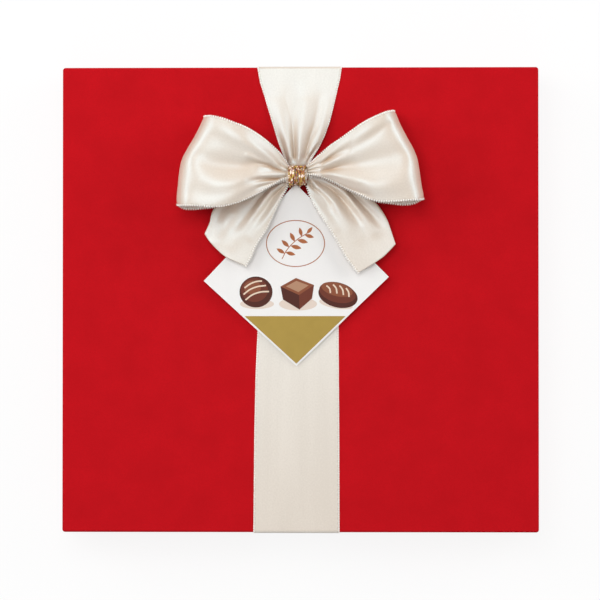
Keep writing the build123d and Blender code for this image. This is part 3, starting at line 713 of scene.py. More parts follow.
# Shares of painted shade on the tails: of the crease shade, and of the loops' shadow
TAIL_CREASE_SHADE_SHARE = 0.6
TAIL_SHELTER_SHADOW = 0.3
LEFT_TAIL = {
    "inner": (
        (288.4, 184.4), (283.2, 194.1), (277.5, 204.5), (271.8, 217.1), (266, 229.7), (256.8, 243.5),
        (250.5, 257.3), (245.9, 266.1),
    ),
    "outer": (
        (286.5, 178.5), (272, 183), (250, 190), (229, 198.5), (214.4, 207.9), (211.5, 213.6),
        (209.8, 221.7), (204.6, 233.7),
    ),
    "cut": (
        (245.9, 266.1), (236.2, 261.9), (227, 257.8), (222.4, 254.4), (214.4, 246.9), (208, 239.5),
        (204.6, 233.7),
    ),
}
RIGHT_TAIL = {
    "inner": (
        (306.8, 186), (311.8, 199.9), (317.6, 210.2), (324.4, 220.5), (331.3, 230.9), (338.2, 242.4),
        (345.1, 255), (353.1, 266.5), (358.3, 272.8),
    ),
    "outer": (
        (308.4, 175.8), (322, 177.2), (345, 184.8), (362, 193.4), (375.5, 202.5), (381.8, 210.2),
        (387.6, 220.5), (391.6, 232), (395.6, 244.1),
    ),
    "cut": ((358.3, 272.8), (368.1, 267), (375.5, 262.4), (384.1, 256.1), (391, 249.2), (395.6, 244.1)),
}
# Heights over the lid in mm along the inner edge and the outer edge
TAIL_WAY_SHARES = (0, 0.2, 0.4, 0.6, 0.8, 1)
TAIL_INNER_MM = (5.2, 6.6, 7.5, 7.6, 7.2, 6.6)
TAIL_OUTER_MM = (5.2, 4.6, 4.2, 4.4, 4.8, 5.0)
# Folds of the tails, as strokes
LEFT_TAIL_STROKES = (
    (
        (286.5, 184.5, -0.6, 1.6), (278.5, 191, -1.6, 2), (272, 197.5, -1.2, 2.6), (266, 208, -0.6, 3.5),
        (256, 218, -0.3, 4),
    ),
    (
        (283, 184, 0.6, 1.8), (272, 192, 1.3, 3), (263.5, 202, 1.9, 4), (256, 212, 1.8, 5),
        (244, 228, 0.9, 6), (232, 244, 0.4, 7),
    ),
    (
        (266.5, 191.5, -1, 1.8), (259, 199.5, -1.3, 2.6), (253, 208, -1.1, 3.2), (247, 216, -0.6, 4.5),
        (238, 226, -0.4, 5),
    ),
    ((283.5, 192, 0.6, 1.8), (274.5, 206, 1.3, 3.4), (266, 219, 1.2, 4.6), (252, 236, 0.5, 6)),
    ((231, 214, 0.8, 6), (224, 226, 0.9, 6), (218, 240, 0.4, 6)),
    ((221, 210, -0.5, 4), (215.5, 222, -0.7, 4.5), (214, 236, -0.5, 4.5)),
)
RIGHT_TAIL_STROKES = (
    (
        (308, 180, -0.8, 1.4), (311, 185.5, -1.3, 1.6), (315.5, 189.5, -1, 1.8), (322, 194.5, -0.6, 2.4),
        (330, 204, -0.5, 3.6),
    ),
    (
        (312, 181, 0.5, 1.6), (317, 186.5, 1, 2.6), (326, 194.5, 1.2, 3.4), (334, 203, 1.4, 4.2),
        (344, 218, 1, 6), (356, 236, 0.4, 8),
    ),
    (
        (318, 181.6, -0.7, 1.8), (333, 190.6, -1.6, 2.4), (341, 198.5, -2, 2.8), (349, 208, -1.3, 3.8),
        (358, 220, -0.5, 5),
    ),
    (
        (330, 184, 0.7, 2.2), (344.5, 192.5, 1.6, 3), (353.5, 203, 1.8, 3.8), (363, 214.5, 1.3, 5),
        (374, 230, 0.7, 6.5),
    ),
    ((349, 192, -1.2, 2.2), (359, 202, -1.8, 3.2), (369, 212.5, -1.3, 4), (379, 224, -0.5, 5)),
    ((313, 198, 0.4, 3), (322, 212, 0.6, 4), (334, 228, 0.4, 6)),
)


def tail_grid(outline, strokes):
    """One tail's middle surface, waist to cut, its outer edge rolled, and its painted crease shade."""
    ways = np.linspace(0, 1, TAIL_ROWS)
    roll = np.linspace(0, 1 + TAIL_TUCK_SHARE, TAIL_COLUMNS)
    shares = np.where(roll <= 1, roll, 2 - roll)
    waist = (outline["inner"][0], outline["outer"][0])
    fine = np.linspace(0, 1, TAIL_FINE)
    plan = blended_grid(outline["inner"], outline["outer"], waist, outline["cut"], ways, fine)
    rows, crease_shades = [], []
    for index, way in enumerate(ways):
        spot = np.stack([np.interp(shares, fine, plan[index, :, axis]) for axis in range(2)], axis=-1)
        inner = np.interp(way, TAIL_WAY_SHARES, TAIL_INNER_MM)
        outer = np.interp(way, TAIL_WAY_SHARES, TAIL_OUTER_MM)
        folds, crease_shade = sculpted(spot, strokes)
        heights = inner + (outer - inner) * shares + folds
        tucked = np.clip((roll - TAIL_TUCK_FROM) / TAIL_TUCK_SPAN, 0, 1)
        tucked = tucked * tucked * (3 - 2 * tucked)
        rolled = min(way * TAIL_ROLL_RATE + TAIL_ROLL_START, 1)
        heights = heights - tucked * (2 * TAIL_ROLL_MM) * rolled
        rows.append([pixel_at(px, py, rise_mm) for (px, py), rise_mm in zip(spot, heights)])
        # Painted shadow of the loops on each tail's outer part near the waist, over a share of the painted
        # crease shade
        painted_shelter_shadow = TAIL_SHELTER_SHADOW * shares**2 * (1 - way)
        crease_shades.append(np.clip(TAIL_CREASE_SHADE_SHARE * crease_shade + painted_shelter_shadow, 0, 1))
    return np.array(rows), np.array(crease_shades)


left_tail_grid, left_tail_crease_shades = tail_grid(LEFT_TAIL, LEFT_TAIL_STROKES)
right_tail_grid, right_tail_crease_shades = tail_grid(RIGHT_TAIL, RIGHT_TAIL_STROKES)
left_tail = ribbon_piece("satin_tail_left", "bow_tail_left", left_tail_grid, left_tail_crease_shades)
right_tail = ribbon_piece(
    "satin_tail_right", "bow_tail_right", right_tail_grid, right_tail_crease_shades, flip=True
)
tail_lengths = [round(run_length(grid) / MM) for grid in (left_tail_grid, right_tail_grid)]
print("tails", tail_lengths, "mm of ribbon")

# %% [markdown]
# The waist is where all the ribbon is gathered: a short, tightly pleated bundle. It is a
# closed tube along X with pleats round it, a little hollow in the middle where the cord
# bites, so it looks squeezed.

# %% Bow waist
WAIST_ROWS = 25
WAIST_COLUMNS = 72
WAIST_PLEATS = 9
WAIST_PLEAT_MM = 0.2
WAIST_CENTRE_Y_MM = 54.2
WAIST_HALF_MM = 3.3
WAIST_SQUEEZE = 0.06
WAIST_CREASE_SHADE = 0.7
waist_low, waist_high = box_corners("bow_waist")
waist_mid = (waist_low + waist_high) / 2
half_z = (waist_high.z - waist_low.z) / 2
turns = np.linspace(0, 2 * math.pi, WAIST_COLUMNS)
waist_rows = []
for share in np.linspace(-1, 1, WAIST_ROWS):
    pleat = WAIST_PLEAT_MM * MM * np.cos(WAIST_PLEATS * turns)
    squeeze = 1 - WAIST_SQUEEZE + WAIST_SQUEEZE * share**2
    waist_rows.append(
        np.stack(
            [
                np.full(WAIST_COLUMNS, waist_mid.x + share * (waist_high.x - waist_low.x) / 2),
                WAIST_CENTRE_Y_MM * MM + (WAIST_HALF_MM * MM * squeeze + pleat) * np.cos(turns),
                waist_mid.z + (half_z * squeeze + pleat) * np.sin(turns),
            ],
            axis=-1,
        )
    )
# Painted shade over the whole gathered waist
waist_crease_shades = np.full((WAIST_ROWS, WAIST_COLUMNS), WAIST_CREASE_SHADE)
waist = grid_mesh("satin_waist", np.array(waist_rows), waist_crease_shades)
closed(waist, weld=0.01 * MM)
dress(waist, cream_satin)
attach(waist, "lid")
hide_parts("bow_waist")
print("waist", round((waist_high.x - waist_low.x) / MM, 1), "mm long")

# %% [markdown]
# The tie is one gold cord, 0.9 mm thick. It is wound seven times round the waist from
# left to right, runs back along the waist's far side, and is wound over itself twice
# more in steep turns, as a hand ties it. Both ends go down to the glue pad. The line is
# a NURBS spline. Metallic cord is two strands of foil laid round each other, so the tube
# has a two-lobed section that twists as it goes along.

# %% Gold cord tie
CORD_DIAMETER = 0.9 * MM
TIE_CENTRE_MM = (54.0, 35.6)
TIE_HALF_WIDTH_MM = 3.75
TIE_HALF_DEPTH_MM = 3.45
TIE_POINTS_EACH_TURN = 16
TIE_FOOT_Z_MM = 31.0
# Each layer: its first x in mm, turns, pitch in mm, how far out it lies, uneven spacing
TIE_UNDER_LAYER = (-4.85, 7.0, 1.08, 0.0, 0.1)
TIE_ROW_MM = ((1.8, 58.0, 36.6), (-0.6, 58.1, 37.0), (-3.4, 58.0, 36.8))
TIE_OVER_LAYER = (-4.7, 2.0, 3.5, 0.5, 0.3)
TIE_LAST_LAYER = (2.3, 1.5, -4.4, 0.7, 0.2)
# The turns' spacing wavers along the winding: how fast, and where it starts
TIE_WAVER_RATE = 1.7
TIE_WAVER_START = 0.6
CORD_LAY_MM = 2.2
CORD_SIDES = 12
CORD_LOBE = 0.16
FLECK_GRAIN = (1.1 * MM, 3)
# Grain of the painted glints on the cord
PAINTED_GLINT_GRAIN = (1.6 * MM, 2)


def smooth_line(name, points_mm):
    """A NURBS spline through control points, as plain points close together."""
    curve = bpy.data.curves.new(name, "CURVE")
    curve.dimensions = "3D"
    curve.resolution_u = 8
    spline = curve.splines.new("NURBS")
    spline.points.add(len(points_mm) - 1)
    for spot, point in zip(spline.points, points_mm):
        spot.co = (point[0] * MM, point[1] * MM, point[2] * MM, 1)
    spline.order_u = 3
    spline.use_endpoint_u = True
    obj = bpy.data.objects.new(name, curve)
    line = bpy.data.meshes.new_from_object(obj)
    points = [vertex.co.copy() for vertex in line.vertices]
    bpy.data.objects.remove(obj)
    bpy.data.meshes.remove(line)
    bpy.data.curves.remove(curve)
    return points


def twisted_cord(name, points, diameter, lay):
    """A closed tube along a line, its section two strands laid round each other."""
    vertices, faces = [], []
    side = Vector((1, 0, 0))
    run = 0.0
    for index, point in enumerate(points):
        before, after = points[max(index - 1, 0)], points[min(index + 1, len(points) - 1)]
        heading = (after - before).normalized()
        side = (side - heading * side.dot(heading)).normalized()
        other = heading.cross(side)
        run += (point - before).length
        for step in range(CORD_SIDES):
            angle = 2 * math.pi * step / CORD_SIDES
            lobe = 1 - CORD_LOBE + CORD_LOBE * abs(math.cos(angle - math.pi * run / lay))
            spot = side * math.cos(angle) + other * math.sin(angle)
            vertices.append(point + spot * (diameter / 2 * lobe))
    for index in range(len(points) - 1):
        for step in range(CORD_SIDES):
            a, b = index * CORD_SIDES + step, index * CORD_SIDES + (step + 1) % CORD_SIDES
            faces.append((a, b, b + CORD_SIDES, a + CORD_SIDES))
    last = (len(points) - 1) * CORD_SIDES
    faces.append(tuple(range(CORD_SIDES))[::-1])
    faces.append(tuple(range(last, last + CORD_SIDES)))
    mesh = bpy.data.meshes.new(name)
    mesh.from_pydata(vertices, [], faces)
    mesh.polygons.foreach_set("use_smooth", [True] * len(mesh.polygons))
    return placed(name, mesh)


def tie_layer(first_x, turns, pitch, outward, uneven):
    """Control points of one layer of turns round the waist, in mm."""
    points = []
    for step in range(round(turns * TIE_POINTS_EACH_TURN) + 1):
        turn = step / TIE_POINTS_EACH_TURN
        angle = 2 * math.pi * turn
        points.append(
            (
                first_x + pitch * turn + uneven * math.sin(TIE_WAVER_RATE * angle + TIE_WAVER_START),
                TIE_CENTRE_MM[0] + (TIE_HALF_WIDTH_MM + outward) * math.cos(angle),
                TIE_CENTRE_MM[1] + (TIE_HALF_DEPTH_MM + outward) * math.sin(angle),
            )
        )
    return points


# Metallised foil wound on a core: bright gold with brown breaks, and pale flecks that are painted glints
gold_cord = layered(
    "gold_foil_thread",
    "A05A40",
    [((FLECK_GRAIN,), (0.46, 0.57), "BDA04C"), ((PAINTED_GLINT_GRAIN,), (0.555, 0.6), "FFEADD")],
    (FLECK_GRAIN, 0.5, 0.1 * MM),
    {"Metallic": 0.35, "Roughness": 0.45},
)
under_layer, over_layer, last_layer = (
    tie_layer(*layer) for layer in (TIE_UNDER_LAYER, TIE_OVER_LAYER, TIE_LAST_LAYER)
)
tie_route = [*under_layer, *TIE_ROW_MM, *over_layer, *last_layer]
tie_route.insert(0, (*tie_route[0][:2], TIE_FOOT_Z_MM))
tie_route.append((*tie_route[-1][:2], TIE_FOOT_Z_MM))
tie_line = smooth_line("tie_line", tie_route)
tie = twisted_cord("gold_cord_tie", tie_line, CORD_DIAMETER, CORD_LAY_MM * MM)
dress(tie, gold_cord)
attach(tie, "lid")
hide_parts("bow_tie")
dress(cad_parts["tag_cord"], gold_cord)

# %% [markdown]
# The tag is heavy white card, hung by one corner and resting its lowest corner on the
# lid. Its face carries hot-stamped gold foil at the bottom corner and a plain printed
# picture: an oval copper frame with a sprig of leaves, and three chocolates in a row.
# Ink has no height to speak of, so each printed shape is a skin 0.02 mm over the card.

# %% Card and foil
CARD_GRAIN = (0.5 * MM, 3)
FOIL_GRAIN = (4 * MM, 3)
CARD_FACE_MIN_RISE = 0.9


def coated_card(name, colour, dark_colour, roughness):
    """White card: an even, slightly warm face with faint fibres under the coating."""
    finish = {"Roughness": roughness, "Specular IOR Level": 0.2}
    tooth = (CARD_GRAIN, 0.1, 0.03 * MM)
    return layered(name, dark_colour, [((CARD_GRAIN,), (0, 1), colour)], tooth, finish)


def stamped_metal(name, colour, dark_colour, roughness):
    """Hot-stamped foil: a thin metal skin that keeps the card's faint unevenness."""
    finish = {"Metallic": 0.3, "Specular IOR Level": 0.2, "Roughness": roughness}
    tooth = (FOIL_GRAIN, 0.1, 0.1 * MM)
    return layered(name, dark_colour, [((FOIL_GRAIN,), (0, 1), colour)], tooth, finish)


tag_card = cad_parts["tag_card"]
dress(tag_card, coated_card("coated_white_card", "F8F6F4", "F3F1EF", 0.55))
# Matt gold foil: an even olive gold, without a mirror's glare
dress(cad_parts["tag_foil"], stamped_metal("gold_stamping_foil", "A68C45", "9C8340", 0.55))
faces = [face for face in tag_card.data.polygons if face.normal.z > CARD_FACE_MIN_RISE]
tag_up = sum((face.normal * face.area for face in faces), Vector()).normalized()
tag_spots = (tag_card.data.vertices[face.vertices[0]].co for face in faces)
tag_point = max(tag_spots, key=lambda spot: spot.dot(tag_up))
print("tag leans", round(math.degrees(math.acos(tag_up.z)), 2), "degrees")

# %% [markdown]
# The copper print: rings and leaves are outlines in pixels, cut with the tag's plane and
# filled. A ring inside another one is a hole.

# %% Printed shapes on the tag
INK_RISE = 0.02 * MM
LEAF_STEPS = 9
STRIPE_STEPS = 14


def printed_shapes(name, outlines_px, material, layer=1):
    """Thin printed skins on the tag, from outlines and their holes in pixels."""
    base = tag_point + tag_up * INK_RISE * layer
    mesh = bpy.data.meshes.new(name)
    skins = bmesh.new()
    for rings in outlines_px:
        edges = []
        for ring in rings:
            spots = [skins.verts.new(pixel_on_plane(px, py, base, tag_up)) for px, py in ring]
            edges += [skins.edges.new((a, b)) for a, b in zip(spots, spots[1:] + spots[:1])]
        filled = bmesh.ops.triangle_fill(skins, edges=edges, use_beauty=True, normal=tag_up)
        faces = [item for item in filled["geom"] if isinstance(item, bmesh.types.BMFace)]
        turned = [face for face in faces if face.normal.dot(tag_up) < 0]
        bmesh.ops.reverse_faces(skins, faces=turned)
    skins.to_mesh(mesh)
    skins.free()
    obj = placed(name, mesh)
    dress(obj, material)
    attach(obj, "tag")


def oval(centre, half_width, half_height, turn=0.0, count=40):
    """An oval outline in pixels, turned by degrees."""
    cosine, sine = math.cos(math.radians(turn)), math.sin(math.radians(turn))
    spots = []
    for step in range(count):
        angle = 2 * math.pi * step / count
        x, y = half_width * math.cos(angle), half_height * math.sin(angle)
        spots.append((centre[0] + x * cosine - y * sine, centre[1] + x * sine + y * cosine))
    return spots


def leaf(root, tip, breadth):
    """A pointed leaf outline between two pixels, its breadth a share of its length."""
    x, y = tip[0] - root[0], tip[1] - root[1]
    edge = []
    for sign, ways in ((1, np.linspace(0, 1, LEAF_STEPS)), (-1, np.linspace(1, 0, LEAF_STEPS)[1:-1])):
        for way in ways:
            bulge = sign * breadth * math.sin(math.pi * way)
            edge.append((root[0] + x * way - y * bulge, root[1] + y * way + x * bulge))
    return edge


def stripe(points, half_width):
    """A thin even line through pixels, as a closed outline."""
    points = curve_through(points, np.linspace(0, 1, STRIPE_STEPS))
    heading = np.gradient(points, axis=0)
    side = np.stack([-heading[:, 1], heading[:, 0]], axis=-1)
    side = side / np.linalg.norm(heading, axis=1)[:, None] * half_width
    return [*map(tuple, points + side), *map(tuple, (points - side)[::-1])]


FRAME_CENTRE_PX = (295.5, 243.5)
FRAME_HALF_PX = (29.5, 23.5)
FRAME_LINE_PX = 0.9
SPRIG_LINE_HALF_PX = 0.4
LEAF_BREADTH = 0.19
SPRIG_STEM_PX = ((282, 259), (286.5, 250.5), (292.5, 243.5), (300, 237.5), (307, 233.5))
# Leaves of the sprig: root and tip
SPRIG_LEAVES_PX = (
    ((285, 253.5), (276.5, 248.5)),
    ((285.6, 252.3), (295.5, 254.8)),
    ((289.2, 247.2), (281.5, 240)),
    ((290.6, 245.8), (301.5, 248.4)),
    ((294.8, 241.6), (290, 232.5)),
    ((297.2, 239.8), (308, 242.6)),
    ((301.8, 236.6), (299.5, 227.5)),
    ((304.6, 234.8), (314, 237.4)),
    ((306.6, 233.8), (312.5, 227)),
)
# Copper foil: a fine line that is a little brighter than ink would be
copper_ink = stamped_metal("copper_stamping_foil", "A8663F", "8F5230", 0.5)
frame_rings = (
    oval(FRAME_CENTRE_PX, *FRAME_HALF_PX, count=72),
    oval(FRAME_CENTRE_PX, *(half - FRAME_LINE_PX for half in FRAME_HALF_PX), count=72),
)
stem = stripe(SPRIG_STEM_PX, SPRIG_LINE_HALF_PX)
leaves = [(leaf(*ends, LEAF_BREADTH),) for ends in SPRIG_LEAVES_PX]
printed_shapes("tag_print_copper", [frame_rings, (stem,), *leaves], copper_ink)
print("tag print frame and", len(SPRIG_LEAVES_PX), "leaves")

# %% [markdown]
# The printed chocolates are flat shapes one over another, each a layer higher than the
# last: a pale tint where they stand, then dark bodies, lit sides, tops and cream lines.
# Each ink is offset printing with a fine screen, so its tone is not quite flat.

# %% Printed chocolates
TRUFFLE_PX = (256, 292)
LOG_PX = (338, 293)
CREAM_HALF_PX = 0.75
SQUARE_FOOT_PX = (298, 304)
SQUARE_TOP_PX = ((280.5, 286.5), (296, 278), (314, 285), (299, 295))
SQUARE_INSET_PX = ((286, 286.4), (296.4, 280.8), (308.6, 285.4), (298.4, 292))
SQUARE_LEFT_PX = ((280.5, 286.5), (299, 295), (299.5, 309.5), (283, 299.5))
SQUARE_RIGHT_PX = ((299, 295), (314, 285), (312, 298.5), (299.5, 309.5))
TRUFFLE_DRIZZLE_PX = (
    ((244.5, 288), (250, 284), (256.5, 281.5), (262, 281)),
    ((243.5, 294.5), (250, 289.5), (258, 286.5), (266, 285.5)),
    ((245.5, 300), (252, 295), (260.5, 292), (269, 291.5)),
)
LOG_STRIPES_PX = (
    ((326.5, 285.5), (329.5, 288.5), (330.5, 293)),
    ((333, 284.5), (336, 288), (337, 293.5)),
    ((339.5, 285.5), (342.5, 289.5), (343.5, 295)),
    ((346, 288), (348.5, 292), (349, 297)),
)


def truffle_oval(dx, dy, half_width, half_height):
    """An oval set off from the truffle's middle."""
    return (oval((TRUFFLE_PX[0] + dx, TRUFFLE_PX[1] + dy), half_width, half_height),)


def log_oval(dx, dy, half_width, half_height, turn=14):
    """A slanted oval set off from the log's middle."""
    return (oval((LOG_PX[0] + dx, LOG_PX[1] + dy), half_width, half_height, turn),)


# Each layer of print: its name, its ink and colour, and its outlines
printed_layers = (
    (
        "contact_tint", "pale_brown", "E6D5C8",
        [truffle_oval(1, 12, 17, 5), (oval(SQUARE_FOOT_PX, 19, 6.5),), log_oval(-2, 11, 17, 4.5, 10)],
    ),
    (
        "bodies", "dark_brown", "4A2118",
        [truffle_oval(0, 0, 16.5, 15.5), (SQUARE_LEFT_PX,), log_oval(0, 2.5, 20, 12)],
    ),
    (
        "lit_sides", "chestnut", "6A3324",
        [truffle_oval(-1.5, -2, 13.5, 12), (SQUARE_RIGHT_PX,), log_oval(-0.5, -0.5, 18.6, 10)],
    ),
    (
        "tops", "brown", "8A4F36",
        [truffle_oval(-3.5, -4.5, 8.5, 7), (SQUARE_TOP_PX,), log_oval(-1, -3.5, 16, 6.6)],
    ),
    ("inset", "fawn", "B48A6E", [(SQUARE_INSET_PX,)]),
    (
        "cream", "cream", "EAD6C0",
        [(stripe(line, CREAM_HALF_PX),) for line in (*TRUFFLE_DRIZZLE_PX, *LOG_STRIPES_PX)],
    ),
)
for layer, (name, ink, colour, outlines) in enumerate(printed_layers, 1):
    ink = coated_card(ink + "_offset_ink", colour, colour, 0.5)
    printed_shapes("tag_print_" + name, outlines, ink, layer)
print("tag chocolates printed")

# %% [markdown]
# Under the lid: bare grey board, white liner paper, tape stays, and the tray of thin
# moulded film, then the chocolates. None of it shows with the lid on, yet each has the
# finish it would have on the table.

# %% Board, liner, stays and tray


def fibrous(name, colour, dark_colour, grain, roughness, tooth):
    """Uncoated paper or board: speckled pulp fibres and a soft tooth."""
    pulp = (grain, 5)
    tooth = (pulp, tooth, 0.06 * MM)
    return layered(name, dark_colour, [((pulp,), (0.35, 0.65), colour)], tooth, {"Roughness": roughness})


papers = (
    # Recycled pulp board: grey, speckled and quite matt
    (fibrous("uncoated_greyboard", "A39C92", "857E75", 0.9 * MM, 0.85, 0.5), "lid_board", "base_board"),
    # Smooth liner paper: even and white, a little softer than the card
    (fibrous("white_liner_paper", "F2EFE9", "E9E5DD", 0.7 * MM, 0.7, 0.25), "lid_liner", "base_liner"),
    # Gummed tape of unbleached kraft: tan, with a faint shine from its gum
    (
        fibrous("gummed_kraft_tape", "B08A5E", "9C7850", 0.8 * MM, 0.6, 0.3),
        "lid_corner_stays",
        "base_corner_stays",
    ),
    # Foam and glue that hold the bow and the tag: dark brown, a painted shade for the gaps beside the tag's
    # top corner; matt, hardly seen
    (fibrous("mounting_foam_dark_as_painted_shade", "6E4632", "5C3828", 0.6 * MM, 0.8, 0.4), "bow_pad", "tag_glue_dot"),
    # Metallised film drawn over a mould: bright gold, a little wavy
    (stamped_metal("gold_metallised_tray_film", "C4A35A", "AB8A45", 0.3), "tray"),
)
for material, *nodes in papers:
    for node in nodes:
        dress(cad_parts[node], material)
print("finishes", [material.name for material, *nodes in papers])

# %% [markdown]
# Tempered chocolate is smooth and satiny, with a faint bloom a few millimetres wide and
# tiny pits. The cups hold a vanilla cream of the same finish.

# %% Chocolates
BLOOM_GRAIN = (6 * MM, 4)
PIT_GRAIN = (0.8 * MM, 2)


def chocolate(name, colour, dark_colour, roughness):
    """Tempered chocolate: satiny, a little light passing through it."""
    finish = {
        "Roughness": roughness,
        "Subsurface Weight": 0.05,
        "Subsurface Radius": (0.001, 0.0005, 0.0003),
    }
    tooth = (PIT_GRAIN, 0.12, 0.1 * MM)
    return layered(name, dark_colour, [((BLOOM_GRAIN,), (0, 1), colour)], tooth, finish)


# Milk is warm brown, dark is nearly black-brown and shinier, vanilla cream pale and matt
milk = chocolate("milk_chocolate", "7A4A2C", "68391F", 0.38)
for node, material in (
    ("praline_oval", milk),
    ("praline_cup", milk),
    ("praline_square", chocolate("dark_chocolate", "43241A", "351A12", 0.34)),
    ("praline_cream", chocolate("vanilla_cream", "F0DFC0", "E6D1AC", 0.5)),
):
    dress(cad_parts[node], material)
print("chocolates ready")

# %% [markdown]
# The cushion pad is embossed paper wadding laid over the chocolates: a crowned sheet
# with quilted diamonds. It is a grid over the pad's own box, its two faces swelling
# between the pressed lines and pulling in at the rim.

# %% Cushion pad
PAD_CELLS = 96
QUILT_PITCH = 24 * MM
PAD_SIDE_PULL = 0.006
PAD_RIM = 3 * MM
PAD_PRESSED_SHARE = 0.45
pad_low, pad_high = box_corners("cushion_pad")
pad_mid, pad_half = (pad_low + pad_high) / 2, (pad_high - pad_low) / 2


def pad_face(upward):
    """One face of the pad, swelling up (1) or down (-1) from its middle."""
    rows = []
    u = np.linspace(-1, 1, PAD_CELLS + 1)
    for v in u:
        x = pad_mid.x + u * pad_half.x * (1 - PAD_SIDE_PULL * (1 - v**2))
        y = pad_mid.y + v * pad_half.y * (1 - PAD_SIDE_PULL * (1 - u**2))
        edge = np.minimum(1 - np.abs(u), 1 - abs(v)) * min(pad_half.x, pad_half.y)
        round_off = np.sqrt(1 - (1 - np.clip(edge / PAD_RIM, 0, 1)) ** 2)
        diamonds = (np.abs(np.sin(math.pi * across / QUILT_PITCH)) for across in (x + y, x - y))
        puff = PAD_PRESSED_SHARE + (1 - PAD_PRESSED_SHARE) * np.sqrt(np.minimum(*diamonds))
        rows.append(np.stack([x, y, pad_mid.z + upward * pad_half.z * round_off * puff], axis=-1))
    return np.array(rows)


pad = grid_mesh("quilted_pad", pad_face(1))
closed(pad, grid_mesh("quilted_pad_under", pad_face(-1)[::-1]), weld=0.02 * MM)
# Embossed wadding paper: soft and off-white, its tooth coarser than the liner's
dress(pad, fibrous("embossed_wadding_paper", "F6F1E8", "EAE3D6", 0.8 * MM, 0.75, 0.3))
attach(pad, "base")
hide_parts("cushion_pad")
print("pad", [round(value / MM, 1) for value in pad_high - pad_low], "mm")

# %% [markdown]
# Selvedge: satin ribbon has a looped edge, small beads of thread side by side. They sit
# on the ribbon's two long edges. A Geometry Nodes tree places one low-poly bead along an
# edge curve at a set spacing, realises them and gives them the thread's material.

# %% Selvedge beads
# A bead's width, height and length; pulled tight, the band's beads are narrow and touch
LOOSE_BEAD = (1.4 * MM, 0.6 * MM, 0.85 * MM)
TIGHT_BEAD = (0.75 * MM, 0.6 * MM, 1.2 * MM)


def bead_row_tree():
    """Beads along edge lines: a tree with their spacing, size and finish as named inputs."""
    tree = bpy.data.node_groups.new("bead_row", "GeometryNodeTree")
    for name, kind in (
        ("Geometry", "Geometry"),
        ("Bead spacing", "Float"),
        ("Bead size", "Vector"),
        ("Finish", "Material"),
    ):
        tree.interface.new_socket(name, in_out="INPUT", socket_type="NodeSocket" + kind)
    tree.interface.new_socket("Geometry", in_out="OUTPUT", socket_type="NodeSocketGeometry")
    given = tree.nodes.new("NodeGroupInput")
    lines = add_node(tree, "GeometryNodeMeshToCurve", {"Mesh": given.outputs["Geometry"]})
    level = add_node(tree, "GeometryNodeSetCurveNormal", {"Curve": lines.outputs["Curve"]}, mode="Z_UP")
    spots = add_node(
        tree,
        "GeometryNodeCurveToPoints",
        {"Curve": level.outputs["Curve"], "Length": given.outputs["Bead spacing"]},
        mode="LENGTH",
    )
    bead = add_node(tree, "GeometryNodeMeshUVSphere", {"Segments": 6, "Rings": 4, "Radius": 0.5})
    row = add_node(
        tree,
        "GeometryNodeInstanceOnPoints",
        {
            "Points": spots.outputs["Points"],
            "Instance": bead.outputs["Mesh"],
            "Rotation": spots.outputs["Rotation"],
            "Scale": given.outputs["Bead size"],
        },
    )
    real = add_node(tree, "GeometryNodeRealizeInstances", {"Geometry": row.outputs["Instances"]})
    smooth = add_node(tree, "GeometryNodeSetShadeSmooth", {"Geometry": real.outputs["Geometry"]})
    finish = add_node(
        tree,
        "GeometryNodeSetMaterial",
        {"Geometry": smooth.outputs["Geometry"], "Material": given.outputs["Finish"]},
    )
    made = tree.nodes.new("NodeGroupOutput")
    tree.links.new(finish.outputs["Geometry"], made.inputs["Geometry"])
    return tree


def bead_rows(name, lines, size, finish):
    """The beads of one ribbon piece, as a plain mesh, along its edge lines."""
    mesh = bpy.data.meshes.new(name + "_lines")
    vertices, edges = [], []
    for line in lines:
        start = len(vertices)
        vertices.extend(map(tuple, line))
        edges.extend((start + step, start + step + 1) for step in range(len(line) - 1))
    mesh.from_pydata(vertices, edges, [])
    guide = placed(name + "_lines", mesh)
    rows = guide.modifiers.new("beads", "NODES")
    rows.node_group = bead_tree
    values = {"Bead spacing": BEAD_SPACING, "Bead size": size, "Finish": finish}
    for item in bead_tree.interface.items_tree:
        if item.name in values:
            rows[item.identifier] = values[item.name]
    graph = bpy.context.evaluated_depsgraph_get()
    beads = bpy.data.meshes.new_from_object(guide.evaluated_get(graph))
    beads.name = name
    bpy.data.objects.remove(guide)
    obj = placed(name, beads)
    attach(obj, "lid")
    return obj


bead_tree = bead_row_tree()
# Bright yarn: whiter and smoother than the cloth, so the ribbon's edge is a pale line
selvedge_thread = fibrous("bright_selvedge_thread", "FFFDF8", "F8F3EA", 0.5 * MM, 0.45, 0.2)
ribbon_runs = (
    (band, band_grid, "stretched", (0, -1)),
    (left_loop, left_grid, "folded", (0, -1)),
    (right_loop, right_grid, "folded", (0, -1)),
    (left_tail, left_tail_grid, "folded", (0,)),
    (right_tail, right_tail_grid, "folded", (0,)),
)
for piece, grid, held, columns in ribbon_runs:
    size = TIGHT_BEAD if held == "stretched" else LOOSE_BEAD
    lines = [grid[:, column] for column in columns]
    beads = bead_rows(piece.name + "_selvedge", lines, size, selvedge_thread)
    print(beads.name, len(beads.data.polygons), "faces")

# %% [markdown]
# Plain soft light: a large window high at the back, a softbox overhead, one at each side
# and a weak one in front. The sky and the floor look plain white to the camera and in
# gloss, while the floor still takes the box's shadow.

# %% Light and floor
world = bpy.data.worlds.new("studio")
scene.world = world
world.use_nodes = True
world.node_tree.nodes.clear()
world_out = world.node_tree.nodes.new("ShaderNodeOutputWorld")
LAMP_AIM = Vector((0, 0, 0.03))
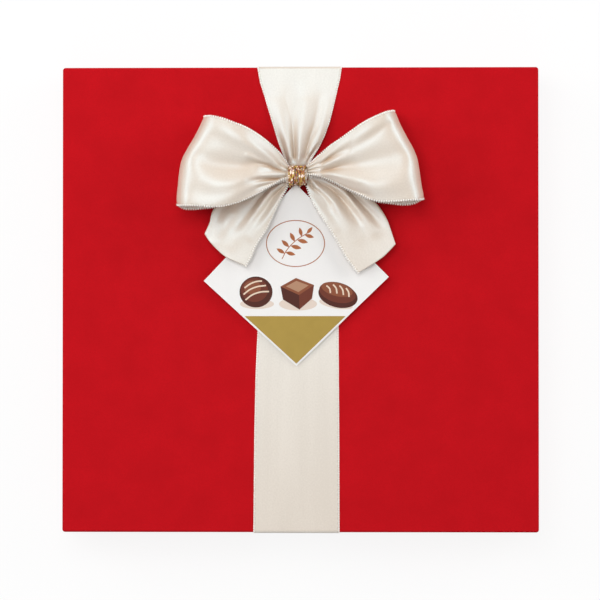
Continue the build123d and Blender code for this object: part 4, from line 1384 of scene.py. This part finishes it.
# Each lamp: its place, its width and height, and its watts
LAMPS = (
    ("back_window", (-0.35, 0.65, 1.15), (0.8, 0.8), 2.2),
    ("overhead", (-0.1, 0.17, 0.72), (0.4, 0.4), 1.8),
    ("left_side", (-1.0, 0.4, 0.6), (0.9, 0.5), 5.6),
    ("right_side", (0.95, 0.4, 0.45), (0.9, 0.5), 5.3),
    ("front_fill", (0, -1.0, 0.9), (0.7, 0.4), 1.5),
)
SKY_STRENGTH = 0.22
FLOOR_HALF = 3
FLOOR_GLOW = 0.885


def seen_ray(tree):
    """One for rays from the camera, through gloss or through glass, and zero for others."""
    path = add_node(tree, "ShaderNodeLightPath")
    seen = path.outputs["Is Camera Ray"]
    for kind in ("Is Glossy Ray", "Is Transmission Ray"):
        both = {0: seen, 1: path.outputs[kind]}
        seen = add_node(tree, "ShaderNodeMath", both, operation="MAXIMUM").outputs[0]
    return seen


sky_level = {"Value": seen_ray(world.node_tree), "To Min": SKY_STRENGTH}
sky_level = add_node(world.node_tree, "ShaderNodeMapRange", sky_level).outputs[0]
sky = {"Color": linear("FFFFFF"), "Strength": sky_level}
sky = add_node(world.node_tree, "ShaderNodeBackground", sky)
world.node_tree.links.new(sky.outputs["Background"], world_out.inputs["Surface"])

for name, place, size, watts in LAMPS:
    lamp = bpy.data.lights.new(name, "AREA")
    lamp.shape = "RECTANGLE"
    lamp.size, lamp.size_y = size
    lamp.energy = watts
    facing = (LAMP_AIM - Vector(place)).to_track_quat("-Z", "Y").to_matrix().to_4x4()
    placed(name, lamp).matrix_world = Matrix.Translation(Vector(place)) @ facing

floor_mesh = bpy.data.meshes.new("floor")
floor_corners = [(x * FLOOR_HALF, y * FLOOR_HALF, 0) for x, y in ((-1, -1), (1, -1), (1, 1), (-1, 1))]
floor_mesh.from_pydata(floor_corners, [], [(0, 1, 2, 3)])
floor = placed("floor", floor_mesh)
# Matt white sweep: lit as it is for the box, near white with a faint shadow to the camera
material, tree, output = new_material("white_floor")
matt = add_node(tree, "ShaderNodeBsdfDiffuse", {"Color": linear("F4F4F3")})
pale = add_node(tree, "ShaderNodeBsdfDiffuse", {"Color": linear("616161")})
glow = add_node(tree, "ShaderNodeEmission", {"Color": linear("FFFFFF"), "Strength": FLOOR_GLOW})
both = add_node(tree, "ShaderNodeAddShader", {0: pale.outputs["BSDF"], 1: glow.outputs["Emission"]})
choice = {0: seen_ray(tree), 1: matt.outputs["BSDF"], 2: both.outputs["Shader"]}
pick = add_node(tree, "ShaderNodeMixShader", choice)
tree.links.new(pick.outputs["Shader"], output.inputs["Surface"])
dress(floor, material)
print("lights and floor ready")
